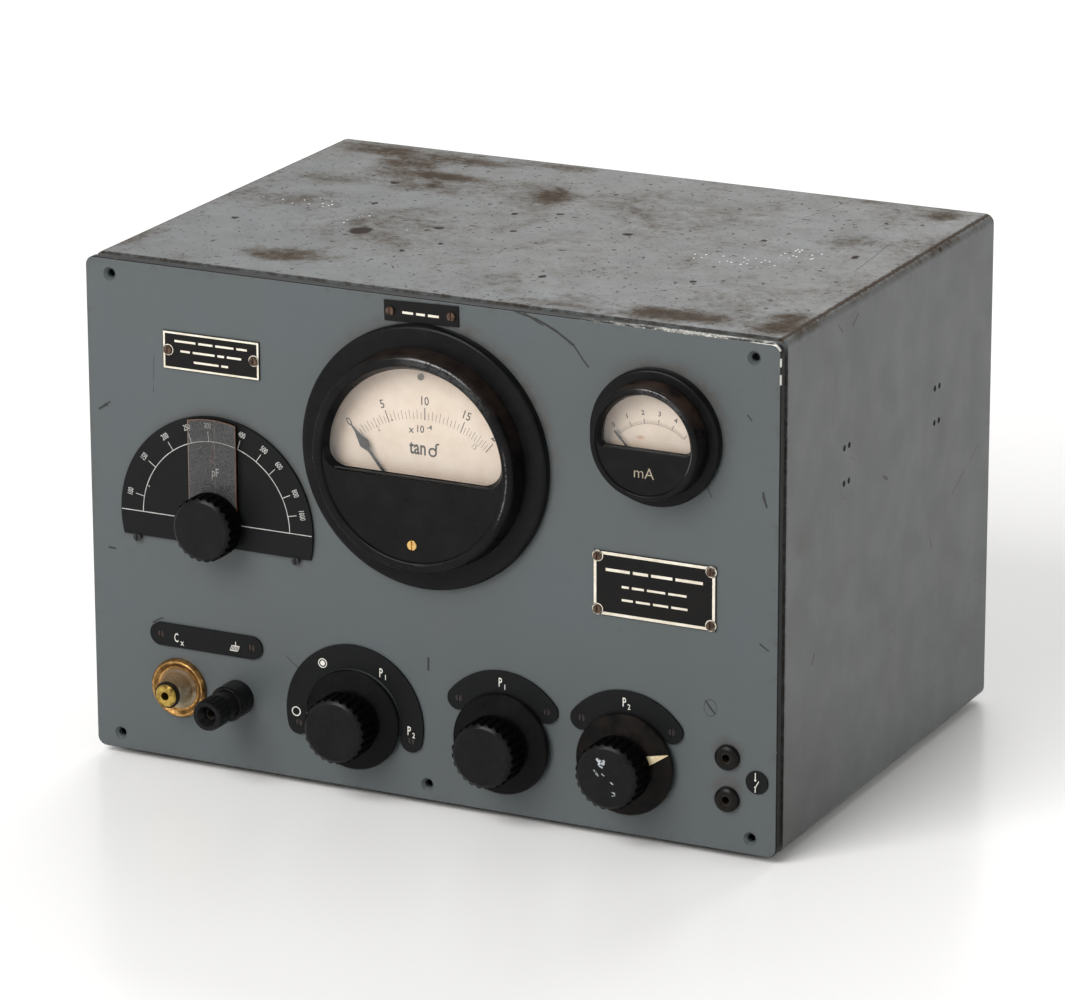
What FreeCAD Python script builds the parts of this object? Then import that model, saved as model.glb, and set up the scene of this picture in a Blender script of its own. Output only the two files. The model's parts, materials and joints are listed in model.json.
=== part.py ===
import FreeCAD, Part
import math
import os

# Bench bridge that sorts capacitors by loss angle: a sheet-steel case, and a front panel
# with its chassis behind it that slides out of the case.
#
# All lengths are millimetres. The part's own frame has +X to the right of the panel, +Y
# into the depth of the case and +Z up, with its origin on the floor under the middle.
# Features are placed from the panel: x across from its middle, z up from its lower edge,
# and "out" in front of its face, which is negative behind it.

# Panel, case and overall reach
PANEL_W = 352.0
PANEL_H = 240.0
PANEL_T = 4.0
PANEL_CORNER = 4.5
PANEL_BREAK = 0.6
POST_REACH = 30.0          # the binding post stands furthest in front of the panel
CASE_BACK = 252.0          # back face of the case, behind the panel's face
CASE_MOUTH = 9.0           # front edge of the case, behind the panel's face
CASE_SIDE_INSET = 0.6
CASE_RISE = 0.5            # the case stands this much above and below the panel
CASE_TOP_R = 4.5
CASE_BOTTOM_R = 4.0
CASE_BACK_R = 2.5
SHEET = 1.5
FOOT_H = 3.0
FOOT_R = 9.0
FOOT_X = 150.0
FOOT_DEPTHS = (26.0, 195.0)
FOOT_ROUND = 0.8

Z_PANEL = FOOT_H + CASE_RISE
Y_FACE = POST_REACH - (POST_REACH + CASE_BACK) / 2
CASE_HALF = PANEL_W / 2 - CASE_SIDE_INSET
INSIDE_HALF = CASE_HALF - SHEET
INSIDE_LOW = SHEET - CASE_RISE
INSIDE_HIGH = PANEL_H + CASE_RISE - SHEET
INSIDE_BACK = CASE_BACK - SHEET

# Panel fastening: countersunk holes, and threaded bosses on a frame inside the mouth
FIX_X = 163.2
FIX_Z_LOW = 7.5
FIX_Z_HIGH = PANEL_H - FIX_Z_LOW
FIX_POINTS = [(x, z) for z in (FIX_Z_LOW, FIX_Z_HIGH) for x in (-FIX_X, 0.0, FIX_X)]
FIX_HOLE_R = 1.95
FIX_SINK_R = 3.3
FIX_SINK_DEPTH = 1.6
BOSS_R = 4.0
BOSS_LENGTH = 4.0
FRAME_T = 2.0
FRAME_OPEN_HALF = 159.0
FRAME_OPEN_LOW = 15.0
FRAME_OPEN_HIGH = 226.0
GASKET_INSET = 2.5
GASKET_W = 3.7

# Holes left in the case sides by a carrying handle, at each of its two feet
HANDLE_HOLE_R = 1.5
HANDLE_DEPTHS = (76.2, 182.7)
HANDLE_Z = 164.5
HANDLE_PITCH_Y = 5.5
HANDLE_PITCH_Z = 16.8

# Cooling slots and the opening for the mains inlet, in the case's back
VENT_BANKS = (-20.0, 70.0)
VENT_ROWS = 6
VENT_PITCH = 14.0
VENT_LOW = 120.0
VENT_W = 44.0
VENT_H = 3.2
INLET_X = -92.0
INLET_Z = 44.0
INLET_W = 30.0
INLET_H = 24.0
INLET_GAP = 2.0
INLET_RIM = 2.5
INLET_FLOOR = 3.0
INLET_PIN_R = 2.4
INLET_PIN_OFFSET = 6.35
INLET_PIN_LENGTH = 11.0

# Spindles: tuning, selector and the two presets
TUNING = (-108.4, 120.1)
SELECTOR = (-37.2, 34.5)
PRESET_1 = (39.4, 34.5)
PRESET_2 = (102.0, 34.5)
PRESETS = (PRESET_1, PRESET_2)
SPINDLES = (TUNING, SELECTOR, *PRESETS)
SHAFT_R = 3.0
RUNNING_GAP = 0.05
BUSH_R = 5.0
BUSH_BACK = -12.0
BUSH_NUT_T = 2.0
BUSH_NUT_R = 6.6
NUT_GAP = 0.4
REAR_NUT_R = 6.0
REAR_NUT_T = 3.0

# Skirted knobs
SKIRT_R = 24.1
SKIRT_BASE = 2.2
CAP_R = 15.8
KNOB_TOP = 23.0
KNOB_BORE_TOP = 19.0
FLUTES = 24
FLUTE_R = 1.35
TUNING_KNOB_R = 15.5
TUNING_KNOB_TOP = 16.5
TUNING_BORE_TOP = 13.0

# Selector switch and preset resistors behind the panel
WAFER_R = 18.0
WAFER_T = 1.6
WAFER_OUTS = (-16.0, -28.0)
WAFER_GAP = 0.1
WAFER_ROD_AT = 14.0
WAFER_ROD_R = 2.0
WAFER_PLATE_BACK = -6.0
WAFER_SHAFT_BACK = -31.0
CONTACT_R = 7.0
POT_R = 15.0
POT_BACK = -24.0
POT_ROUND = 1.5

# Tuning dial and cursor
DIAL_R = 50.7
DIAL_DROP = 11.8           # from the spindle down to the dial's straight lower edge
DIAL_T = 1.5
CURSOR_W = 25.2
CURSOR_R = 50.2
CURSOR_TAIL = 8.0
CURSOR_BACK = 2.4
CURSOR_T = 2.0
CURSOR_CORNER = 5.0

# Tuning capacitor behind the dial
VANE_R = 23.0
VANE_T = 1.0
VANE_PITCH = 5.0
ROTOR_VANES = 9
VANE_FIRST = -33.5
STATOR_R = 27.0
STATOR_HOLE_R = 6.0
STATOR_ROD_R = 1.2
STATOR_ROD_AT = 24.5
CAP_FRAME_FRONT = -24.0
CAP_FRAME_BACK = -84.0
CAP_FRAME_HALF = 28.5
CAP_FRAME_TOP = 152.0
CAP_FRAME_T = 2.0

# Meters: (x, z) of the middle, then radii of the parts
MAIN = (1.0, 166.0)
SMALL = (116.4, 190.6)
MAIN_DROP = 30.6           # from the meter's middle down to its needle's pivot
SMALL_DROP = 16.8
MAIN_REST = 129.0          # needle's direction at zero, in degrees from +X
SMALL_REST = 133.0
MAIN_CAN_R = 51.0
SMALL_CAN_R = 27.5
MAIN_CAN_DEPTH = 45.0
SMALL_CAN_DEPTH = 32.0
CAN_WALL = 1.6
CAN_BACK_T = 2.5
CAN_GAP = 0.3
CAN_ROUND = 1.2
METER_DIAL_BACK = 3.2
METER_DIAL_T = 0.8
NEEDLE_BACK = 6.5
NEEDLE_T = 0.6
ZERO_SCREW = (1.0, 128.0)
ZERO_SCREW_R = 2.45

# Capacitor terminal, binding post and sockets, all for 4 mm plugs
PLUG_R = 2.0
TERMINAL = (-130.5, 35.3)
TERMINAL_HOLE_R = 8.0
TERMINAL_STEM_R = 2.9
TERMINAL_TOP = 14.4
TERMINAL_BACK = -9.0       # back of the ceramic, behind the panel
POST = (-99.5, 35.0)
POST_STEM_R = 3.2
POST_HOLE_R = 3.5
POST_BASE_TOP = 12.0
POST_WASHER_T = 0.9
POST_STEM_TOP = 25.5
SOCKET_X = 152.0
SOCKET_HEIGHTS = (25.0, 45.0)
SOCKET_HOLE_R = 4.2
SLEEVE_R = 2.6
SYMBOL = (166.5, 35.2)
SYMBOL_R = 5.5
SYMBOL_T = 0.8
SYMBOL_ROUND = 0.25

# Engraved plates: middle x, middle z, width, height, tilt in degrees
MAKER_PLATE = (-109.9, 200.2, 50.6, 18.2, 0.0)
RATING_PLATE = (115.5, 118.7, 60.5, 30.3, 0.0)
INVENTORY_PLATE = (-0.8, 233.3, 37.6, 9.6, 1.7)
PLATE_T = 0.8
MAKER_SCREW_X = 22.5
RATING_SCREW_X = 28.0
RATING_SCREW_Z = 12.6
INVENTORY_SCREW_X = 15.5
CLIP_SCREWS = [(-150.6, 107.1), (-66.6, 107.1)]
PLATE_SCREW_R = 2.0
PLATE_SCREW_HEAD = 1.1
CLIP_SCREW_HEAD = 0.7      # low enough for the cursor to pass over
PLATE_SHANK_R = 1.0

# Labels round the controls
LABEL_T = 1.2
LABEL_HALF_W = 5.6
SELECTOR_LABEL_R = 30.1
SELECTOR_LABEL_ENDS = (-12.5, 192.5)
PRESET_LABEL_R = 29.0
PRESET_LABEL_ENDS = (39.0, 141.0)
TERMINAL_LABEL = (-115.4, 60.9)
TERMINAL_LABEL_HALF = 24.3
LABEL_SCREW_R = 1.8
LABEL_SHANK_R = 0.9
LABEL_SCREW_SINK = 0.3
SLOT_W = 0.7
SLOT_DEPTH = 0.5

# Chassis behind the panel
SIDE_X = 143.0
CHASSIS_BACK = -235.0
CHASSIS_LOW = 16.0
DECK_TOP = 87.5
DECK_FRONT = -16.0
SIDE_FLANGE = 12.0
FLANGE_FRONT = -16.0
GUSSET_TOP = 150.0
GUSSET_FRONT = -40.0
GUSSET_BACK = -90.0
RUNNER_IN = 126.0
RUNNER_OUT = 148.0
RUNNER_T = 2.0
RUNNER_GAP = 0.1
RUNNER_GUIDE_H = 8.0
GUIDE_GAP = 0.5
RUNNER_BACK = -248.0
VALVES = [(-30.0, -120.0), (15.0, -120.0), (60.0, -120.0)]
VALVE_HOLE_R = 10.0
COIL_CAN = (-107.0, -192.0)
COIL_CAN_HALF = 22.0
COIL_CAN_H = 62.0
COIL_CAN_ROUND = 3.0
SMOOTHING = (-30.0, -192.0)
SMOOTHING_R = 17.5
SMOOTHING_H = 70.0
CORE_X = 99.0
CORE_OUT = -190.0
CORE_W = 66.0
CORE_T = 30.0
CORE_LIMB = 11.0
CORE_LOW = 90.5
CORE_H = 56.0
WINDING_OVERHANG = 13.0

OUTWARD = FreeCAD.Vector(0, -1, 0)
UPWARD = FreeCAD.Vector(0, 0, 1)
ACROSS = FreeCAD.Vector(1, 0, 0)
PAST = 1.0                 # how far a cutter runs past the faces that it opens


def at(x, out, z):
    """Point placed from the panel."""
    return FreeCAD.Vector(x, Y_FACE - out, Z_PANEL + z)


def block(x0, x1, out0, out1, z0, z1):
    """Rectangular block between two corners placed from the panel."""
    return Part.makeBox(x1 - x0, out1 - out0, z1 - z0, at(x0, out1, z0))


def rod(x, z, radius, out0, out1):
    """Cylinder square to the panel."""
    return Part.makeCylinder(radius, out1 - out0, at(x, out0, z), OUTWARD)


def tube(x, z, outer, inner, out0, out1):
    """Tube square to the panel."""
    return rod(x, z, outer, out0, out1).cut(rod(x, z, inner, out0 - PAST, out1 + PAST))


def hex_nut(x, z, corner_r, bore_r, out0, out1):
    """Hexagonal nut square to the panel."""
    corners = []
    for k in range(7):
        turn = math.radians(60 * k)
        corners.append(at(x + corner_r * math.cos(turn), out0, z + corner_r * math.sin(turn)))
    body = Part.Face(Part.makePolygon(corners)).extrude(OUTWARD * (out1 - out0))
    return body.cut(rod(x, z, bore_r, out0 - PAST, out1 + PAST))


def outward_solid(shape):
    """The same solid with its faces turned outwards."""
    return shape if shape.Volume > 0 else shape.reversed()


def turned(x, z, profile):
    """Solid turned about an axis square to the panel, from (radius, out) points."""
    points = [at(x + radius, out, z) for radius, out in profile]
    face = Part.Face(Part.makePolygon(points + points[:1]))
    return outward_solid(face.revolve(at(x, 0, z), OUTWARD, 360))


def turned_upright(x, out, profile):
    """Solid turned about an upright axis, from (radius, height) points."""
    points = [at(x + radius, out, z) for radius, z in profile]
    face = Part.Face(Part.makePolygon(points + points[:1]))
    return outward_solid(face.revolve(at(x, out, 0), UPWARD, 360))


def round_rims(shape, rims):
    """Round circular edges given as (edge radius, out, fillet radius)."""
    for edge_r, out, fillet in rims:
        found = []
        for edge in shape.Edges:
            curve = edge.Curve
            if not isinstance(curve, Part.Circle):
                continue
            if abs(curve.Radius - edge_r) < 0.01 and abs(curve.Center.y - Y_FACE + out) < 0.01:
                found.append(edge)
        shape = shape.makeFillet(fillet, found)
    return shape


def rounded_slab(half_w, z0, z1, top_r, bottom_r, out0, out1):
    """Slab whose four edges that run front to back are rounded."""
    slab = block(-half_w, half_w, out0, out1, z0, z1)
    middle = Z_PANEL + (z0 + z1) / 2
    top = []
    bottom = []
    for edge in slab.Edges:
        if abs(edge.BoundBox.YLength - (out1 - out0)) > 0.01 or edge.BoundBox.XLength > 0.01:
            continue
        if edge.BoundBox.ZLength > 0.01:
            continue
        (top if edge.CenterOfMass.z > middle else bottom).append(edge)
    rounded = slab.makeFillet(top_r, top)
    bottom = [e for e in rounded.Edges if any(e.CenterOfMass.isEqual(b.CenterOfMass, 0.01) for b in bottom)]
    return rounded.makeFillet(bottom_r, bottom)


def arc_band(x, z, radius, half_w, ends, out0, out1):
    """Flat band bent round a spindle, with round ends, between two angles."""
    low, high = (math.radians(end) for end in ends)
    middle = (low + high) / 2

    def spot(r, turn):
        return at(x + r * math.cos(turn), out0, z + r * math.sin(turn))

    def end_tip(turn, side):
        away = turn + side * math.pi / 2
        centre = spot(radius, turn)
        return centre + FreeCAD.Vector(math.cos(away), 0, math.sin(away)) * half_w

    outer, inner = radius + half_w, radius - half_w
    edges = [
        Part.Arc(spot(outer, low), spot(outer, middle), spot(outer, high)).toShape(),
        Part.Arc(spot(outer, high), end_tip(high, 1), spot(inner, high)).toShape(),
        Part.Arc(spot(inner, high), spot(inner, middle), spot(inner, low)).toShape(),
        Part.Arc(spot(inner, low), end_tip(low, -1), spot(outer, low)).toShape(),
    ]
    return Part.Face(Part.Wire(edges)).extrude(OUTWARD * (out1 - out0))


def window_outline(x, z, radius, drop, corner, out):
    """D-shaped outline: a circle closed by a straight lower edge with rounded corners."""
    reach = math.sqrt((radius - corner) ** 2 - (corner - drop) ** 2)
    rise = corner - drop
    turn = math.atan2(rise, reach)
    bisector = (turn - math.pi / 2) / 2

    def mirrored(side):
        on_arc = at(x + side * radius * math.cos(turn), out, z + radius * math.sin(turn))
        in_corner = at(x + side * (reach + corner * math.cos(bisector)), out,
                       z + rise + corner * math.sin(bisector))
        on_line = at(x + side * reach, out, z - drop)
        return on_arc, in_corner, on_line

    right = mirrored(1)
    left = mirrored(-1)
    edges = [
        Part.Arc(right[0], at(x, out, z + radius), left[0]).toShape(),
        Part.Arc(left[0], left[1], left[2]).toShape(),
        Part.LineSegment(left[2], right[2]).toShape(),
        Part.Arc(right[2], right[1], right[0]).toShape(),
    ]
    return Part.Wire(edges)


def window_plate(x, z, radius, drop, corner, out0, out1):
    """Flat D-shaped plate."""
    return Part.Face(window_outline(x, z, radius, drop, corner, out0)).extrude(OUTWARD * (out1 - out0))


def tilted_plate(plate, thickness):
    """Rectangular plate on the panel, turned by its tilt."""
    x, z, width, height, tilt = plate
    body = block(x - width / 2, x + width / 2, 0, thickness, z - height / 2, z + height / 2)
    body.rotate(at(x, 0, z), OUTWARD, tilt)
    return body


def on_plate(plate, dx, dz):
    """Panel x and z of a point given from a plate's middle."""
    x, z, _, _, tilt = plate
    turn = math.radians(tilt)
    return (x + dx * math.cos(turn) - dz * math.sin(turn), z + dx * math.sin(turn) + dz * math.cos(turn))


def plate_screw_points():
    """Where the engraved plates are screwed to the panel."""
    points = [on_plate(MAKER_PLATE, side * MAKER_SCREW_X, 0) for side in (-1, 1)]
    points += [on_plate(INVENTORY_PLATE, side * INVENTORY_SCREW_X, 0) for side in (-1, 1)]
    for side in (-1, 1):
        for level in (-1, 1):
            points.append(on_plate(RATING_PLATE, side * RATING_SCREW_X, level * RATING_SCREW_Z))
    return points


def label_screw_points():
    """Where the labels round the controls are screwed to the panel."""
    points = [(TERMINAL_LABEL[0] + side * TERMINAL_LABEL_HALF, TERMINAL_LABEL[1]) for side in (-1, 1)]
    bands = [(SELECTOR, SELECTOR_LABEL_R, SELECTOR_LABEL_ENDS)]
    bands += [(preset, PRESET_LABEL_R, PRESET_LABEL_ENDS) for preset in PRESETS]
    for (x, z), radius, ends in bands:
        for end in ends:
            turn = math.radians(end)
            points.append((x + radius * math.cos(turn), z + radius * math.sin(turn)))
    return points


def bored(shape, points, radius, out0, out1):
    """The shape with a round hole at each point."""
    return shape.cut(Part.makeCompound([rod(x, z, radius, out0, out1) for x, z in points]))


# ---- case ----

def handle_cutters():
    """Pins that pierce both case sides at the handle's feet."""
    cutters = []
    for depth in HANDLE_DEPTHS:
        for dy in (-0.5, 0.5):
            for dz in (-0.5, 0.5):
                start = at(-PANEL_W / 2 - PAST, -depth - dy * HANDLE_PITCH_Y, HANDLE_Z + dz * HANDLE_PITCH_Z)
                cutters.append(Part.makeCylinder(HANDLE_HOLE_R, PANEL_W + 2 * PAST, start, ACROSS))
    return cutters


def vent_cutters():
    """Slots through the case's back."""
    cutters = []
    for x in VENT_BANKS:
        for row in range(VENT_ROWS):
            z = VENT_LOW + row * VENT_PITCH
            cutters.append(block(x - VENT_W / 2, x + VENT_W / 2, -CASE_BACK - PAST, -INSIDE_BACK + PAST,
                                 z - VENT_H / 2, z + VENT_H / 2))
    return cutters


def case_shell():
    """Folded sheet case, open at the front."""
    outer = rounded_slab(CASE_HALF, -CASE_RISE, PANEL_H + CASE_RISE, CASE_TOP_R, CASE_BOTTOM_R,
                         -CASE_BACK, -CASE_MOUTH)
    back_y = Y_FACE + CASE_BACK
    outer = outer.makeFillet(CASE_BACK_R, [e for e in outer.Edges if abs(e.BoundBox.YMin - back_y) < 0.01])
    inner = rounded_slab(INSIDE_HALF, INSIDE_LOW, INSIDE_HIGH, CASE_TOP_R - SHEET, CASE_BOTTOM_R - SHEET,
                         -INSIDE_BACK, -CASE_MOUTH + PAST)
    half_w, half_h = INLET_W / 2 + INLET_GAP, INLET_H / 2 + INLET_GAP
    inlet = block(INLET_X - half_w, INLET_X + half_w, -CASE_BACK - PAST, -INSIDE_BACK + PAST,
                  INLET_Z - half_h, INLET_Z + half_h)
    return outer.cut(Part.makeCompound([inner, inlet] + handle_cutters() + vent_cutters()))


def case_front_frame():
    """Flat frame welded inside the case's mouth, which the panel's screws reach."""
    ring = rounded_slab(INSIDE_HALF, INSIDE_LOW, INSIDE_HIGH, CASE_TOP_R - SHEET, CASE_BOTTOM_R - SHEET,
                        -CASE_MOUTH - FRAME_T, -CASE_MOUTH)
    opening = block(-FRAME_OPEN_HALF, FRAME_OPEN_HALF, -CASE_MOUTH - FRAME_T - PAST, -CASE_MOUTH + PAST,
                    FRAME_OPEN_LOW, FRAME_OPEN_HIGH)
    return bored(ring.cut(opening), FIX_POINTS, FIX_HOLE_R, -CASE_MOUTH - FRAME_T - PAST, 0)


def frame_bosses():
    """Threaded bosses behind the frame, one at each panel hole."""
    front = -CASE_MOUTH - FRAME_T
    return [tube(x, z, BOSS_R, FIX_HOLE_R, front - BOSS_LENGTH, front) for x, z in FIX_POINTS]


def case_feet():
    """Four low round feet."""
    feet = []
    for x in (-FOOT_X, FOOT_X):
        for depth in FOOT_DEPTHS:
            foot = Part.makeCylinder(FOOT_R, FOOT_H, FreeCAD.Vector(x, Y_FACE + depth, 0))
            rim = [e for e in foot.Edges if isinstance(e.Curve, Part.Circle) and e.CenterOfMass.z < 0.01]
            feet.append(foot.makeFillet(FOOT_ROUND, rim))
    return feet


def chassis_runners():
    """Two inverted channels on the case floor, each with a guide for a chassis side."""
    top = CHASSIS_LOW - RUNNER_GAP
    front = -CASE_MOUTH - FRAME_T
    runners = []
    for side in (-1, 1):
        low_x, high_x = sorted((side * RUNNER_IN, side * RUNNER_OUT))
        channel = block(low_x, high_x, RUNNER_BACK, front, INSIDE_LOW, top)
        hollow = block(low_x + RUNNER_T, high_x - RUNNER_T, RUNNER_BACK - PAST, front + PAST,
                       INSIDE_LOW - PAST, top - RUNNER_T)
        guide_x = sorted((side * (SIDE_X + GUIDE_GAP), side * RUNNER_OUT))
        guide = block(guide_x[0], guide_x[1], RUNNER_BACK, front, top, top + RUNNER_GUIDE_H)
        runners.append(channel.cut(hollow).fuse(guide).removeSplitter())
    return runners


# ---- panel and what is fastened on it ----

def panel_holes():
    """Every cutter that pierces the panel."""
    back, front = -PANEL_T - PAST, PAST
    cutters = [rod(x, z, FIX_HOLE_R, back, front) for x, z in FIX_POINTS]
    for x, z in FIX_POINTS:
        floor = at(x, -FIX_SINK_DEPTH, z)
        cutters.append(Part.makeCone(FIX_HOLE_R, FIX_SINK_R, FIX_SINK_DEPTH, floor, OUTWARD))
    cutters += [rod(x, z, BUSH_R, back, front) for x, z in SPINDLES]
    cutters += [rod(x, z, PLATE_SHANK_R, back, front) for x, z in plate_screw_points() + CLIP_SCREWS]
    cutters += [rod(x, z, LABEL_SHANK_R, back, front) for x, z in label_screw_points()]
    cutters += [rod(SOCKET_X, z, SOCKET_HOLE_R, back, front) for z in SOCKET_HEIGHTS]
    cutters.append(rod(*MAIN, MAIN_CAN_R + CAN_GAP, back, front))
    cutters.append(rod(*SMALL, SMALL_CAN_R + CAN_GAP, back, front))
    cutters.append(rod(*TERMINAL, TERMINAL_HOLE_R, back, front))
    cutters.append(rod(*POST, POST_HOLE_R, back, front))
    return Part.makeCompound(cutters)


def front_panel():
    """Thick front plate with rounded corners and a broken front edge."""
    plate = rounded_slab(PANEL_W / 2, 0, PANEL_H, PANEL_CORNER, PANEL_CORNER, -PANEL_T, 0)
    plate = plate.makeFillet(PANEL_BREAK, [e for e in plate.Edges if abs(e.BoundBox.YMax - Y_FACE) < 0.01])
    return plate.cut(panel_holes())


def panel_gasket():
    """Thin frame of felt between the panel and the case's mouth."""
    half = PANEL_W / 2 - GASKET_INSET
    ring = rounded_slab(half, GASKET_INSET, PANEL_H - GASKET_INSET, PANEL_CORNER, PANEL_CORNER,
                        -CASE_MOUTH, -PANEL_T)
    low = GASKET_INSET + GASKET_W
    open_half = half - GASKET_W
    opening = block(-open_half, open_half, -CASE_MOUTH - PAST, -PANEL_T + PAST, low, PANEL_H - low)
    return ring.cut(opening)


def engraved_plate(plate):
    """Engraved plate, bored for its screws."""
    return bored(tilted_plate(plate, PLATE_T), plate_screw_points(), PLATE_SHANK_R, -PAST, PLATE_T + PAST)


def slotted(head, x, z, radius, top):
    """Screw head with a straight slot across it."""
    half = SLOT_W / 2
    return head.cut(block(x - half, x + half, top - SLOT_DEPTH, top + PAST, z - radius, z + radius))


def plate_screw(x, z, seat, head):
    """Cheese-head screw whose head bears on a plate at the height seat."""
    top = seat + head
    screw = rod(x, z, PLATE_SCREW_R, seat, top).fuse(rod(x, z, PLATE_SHANK_R, -PANEL_T, seat))
    return slotted(screw.removeSplitter(), x, z, PLATE_SCREW_R, top)


def plate_screws():
    """Screws of the three engraved plates, and the two that clip the tuning dial's lower edge."""
    screws = [plate_screw(x, z, PLATE_T, PLATE_SCREW_HEAD) for x, z in plate_screw_points()]
    return screws + [plate_screw(x, z, DIAL_T, CLIP_SCREW_HEAD) for x, z in CLIP_SCREWS]


def label_screws():
    """Flush screws of the labels."""
    top = LABEL_T - LABEL_SCREW_SINK
    screws = []
    for x, z in label_screw_points():
        screw = rod(x, z, LABEL_SCREW_R, 0, top).fuse(rod(x, z, LABEL_SHANK_R, -PANEL_T, 0))
        screws.append(slotted(screw.removeSplitter(), x, z, LABEL_SCREW_R, top))
    return screws


def bored_label(shape):
    """Label with the holes of its flush screws."""
    return bored(shape, label_screw_points(), LABEL_SCREW_R, -PAST, LABEL_T + PAST)


def terminal_label():
    """Straight label with round ends above the terminals."""
    x, z = TERMINAL_LABEL
    straight = block(x - TERMINAL_LABEL_HALF, x + TERMINAL_LABEL_HALF, 0, LABEL_T,
                     z - LABEL_HALF_W, z + LABEL_HALF_W)
    ends = [rod(x + side * TERMINAL_LABEL_HALF, z, LABEL_HALF_W, 0, LABEL_T) for side in (-1, 1)]
    return bored_label(straight.fuse(ends).removeSplitter())


def control_label(spindle, radius, ends):
    """Label bent round a spindle."""
    return bored_label(arc_band(*spindle, radius, LABEL_HALF_W, ends, 0, LABEL_T))


def capacitance_dial():
    """Half-round dial plate behind the tuning cursor."""
    x, z = TUNING
    upper = block(x - DIAL_R, x + DIAL_R, 0, DIAL_T, z - DIAL_DROP, z + DIAL_R)
    plate = rod(x, z, DIAL_R, 0, DIAL_T).common(upper)
    return plate.cut(rod(x, z, BUSH_NUT_R + NUT_GAP, -PAST, DIAL_T + PAST))


def symbol_disc():
    """Small round plate beside the sockets."""
    return round_rims(rod(*SYMBOL, SYMBOL_R, 0, SYMBOL_T), [(SYMBOL_R, SYMBOL_T, SYMBOL_ROUND)])


# ---- meters ----

def meter_cover(meter, profile, rims, windows):
    """Moulded meter front: a flange, a drum on it and a D-shaped window through the drum's face."""
    x, z = meter
    body = round_rims(turned(x, z, profile), rims)
    outlines = [window_outline(x, z, *window) for window in windows]
    return body.cut(Part.makeLoft(outlines, True, True))


def main_meter_cover():
    """Cover of the large meter, bored for the zero screw."""
    profile = [(48.0, 0), (62.4, 0), (62.4, 4.4), (52.4, 4.8), (51.0, 16.2), (46.4, 16.2), (45.8, 15.0),
               (0, 15.0), (0, 11.7), (48.0, 11.7)]
    rims = [(62.4, 4.4, 2.0), (51.0, 16.2, 2.4), (46.4, 16.2, 1.4)]
    windows = [(42.9, 4.9, 9.0, 9.7), (47.5, 8.5, 9.6, 18.2)]
    cover = meter_cover(MAIN, profile, rims, windows)
    return cover.cut(rod(*ZERO_SCREW, ZERO_SCREW_R + RUNNING_GAP, 10.0, 18.0))


def small_meter_cover():
    """Cover of the small meter."""
    profile = [(24.6, 0), (31.8, 0), (31.8, 4.2), (27.2, 4.5), (26.2, 15.4), (23.7, 15.4), (23.2, 14.4),
               (0, 14.4), (0, 11.5), (24.6, 11.5)]
    rims = [(31.8, 4.2, 1.6), (26.2, 15.4, 1.3), (23.7, 15.4, 0.8)]
    windows = [(21.2, 1.9, 2.6, 9.5), (24.0, 4.1, 3.6, 17.5)]
    return meter_cover(SMALL, profile, rims, windows)


def meter_glasses():
    """Panes cemented behind the two windows."""
    return [window_plate(*MAIN, 46.5, 8.5, 9.0, 10.0, 11.7), window_plate(*SMALL, 23.8, 4.6, 3.0, 10.0, 11.5)]


def meter_dials():
    """Scale plates of the two meters."""
    top = METER_DIAL_BACK + METER_DIAL_T
    return [window_plate(*MAIN, 47.5, 16.0, 4.0, METER_DIAL_BACK, top),
            window_plate(*SMALL, 24.2, 8.0, 2.0, METER_DIAL_BACK, top)]


def meter_can(meter, radius, depth):
    """Cup behind the panel that holds a meter's movement."""
    cup = rod(*meter, radius, -depth, 0).cut(rod(*meter, radius - CAN_WALL, CAN_BACK_T - depth, PAST))
    return round_rims(cup, [(radius, -depth, CAN_ROUND)])


def meter_cans():
    """Rear cups of the two meters."""
    return [meter_can(MAIN, MAIN_CAN_R, MAIN_CAN_DEPTH), meter_can(SMALL, SMALL_CAN_R, SMALL_CAN_DEPTH)]


def movement(meter, drop, magnet, pillar_x, depth, front):
    """Ring magnet of a movement and the two pillars that carry the scale plate."""
    x, z = meter
    floor = CAN_BACK_T - depth
    solids = [tube(x, z - drop, magnet[0], magnet[1], floor, front)]
    for side in (-1, 1):
        solids.append(rod(x + side * pillar_x, z - 3.0, 2.0, floor, METER_DIAL_BACK))
    return solids


def meter_movements():
    """Fixed parts of both movements."""
    main = movement(MAIN, MAIN_DROP, (17.0, 11.0), 32.0, MAIN_CAN_DEPTH, -10.0)
    return main + movement(SMALL, SMALL_DROP, (8.8, 5.6), 17.0, SMALL_CAN_DEPTH, -8.0)


def needle(meter, drop, rest, outline, tail, spindle, coil):
    """Pointer, spindle and moving coil of one meter; outline gives (distance, half width) steps."""
    x, z = meter[0], meter[1] - drop
    upper = [at(x + reach, NEEDLE_BACK, z + half) for reach, half in outline]
    lower = [at(x + reach, NEEDLE_BACK, z - half) for reach, half in reversed(outline)]
    blade = Part.Face(Part.makePolygon(upper + lower + upper[:1])).extrude(OUTWARD * NEEDLE_T)
    blade = blade.fuse(block(x - tail, x, NEEDLE_BACK, NEEDLE_BACK + NEEDLE_T, z - 1.2, z + 1.2))
    blade.rotate(at(x, 0, z), OUTWARD, rest)
    coil_r, coil_back, coil_front = coil
    parts = [rod(x, z, spindle, coil_back, NEEDLE_BACK + NEEDLE_T), rod(x, z, coil_r, coil_back, coil_front)]
    return blade.fuse(parts).removeSplitter()


def main_needle():
    """Needle of the large meter, with a lozenge near its tip."""
    outline = [(0, 0.7), (41.0, 0.6), (45.0, 2.5), (52.0, 0.45), (56.0, 0.15)]
    return needle(MAIN, MAIN_DROP, MAIN_REST, outline, 14.0, 1.0, (9.0, -38.0, -14.0))


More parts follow.
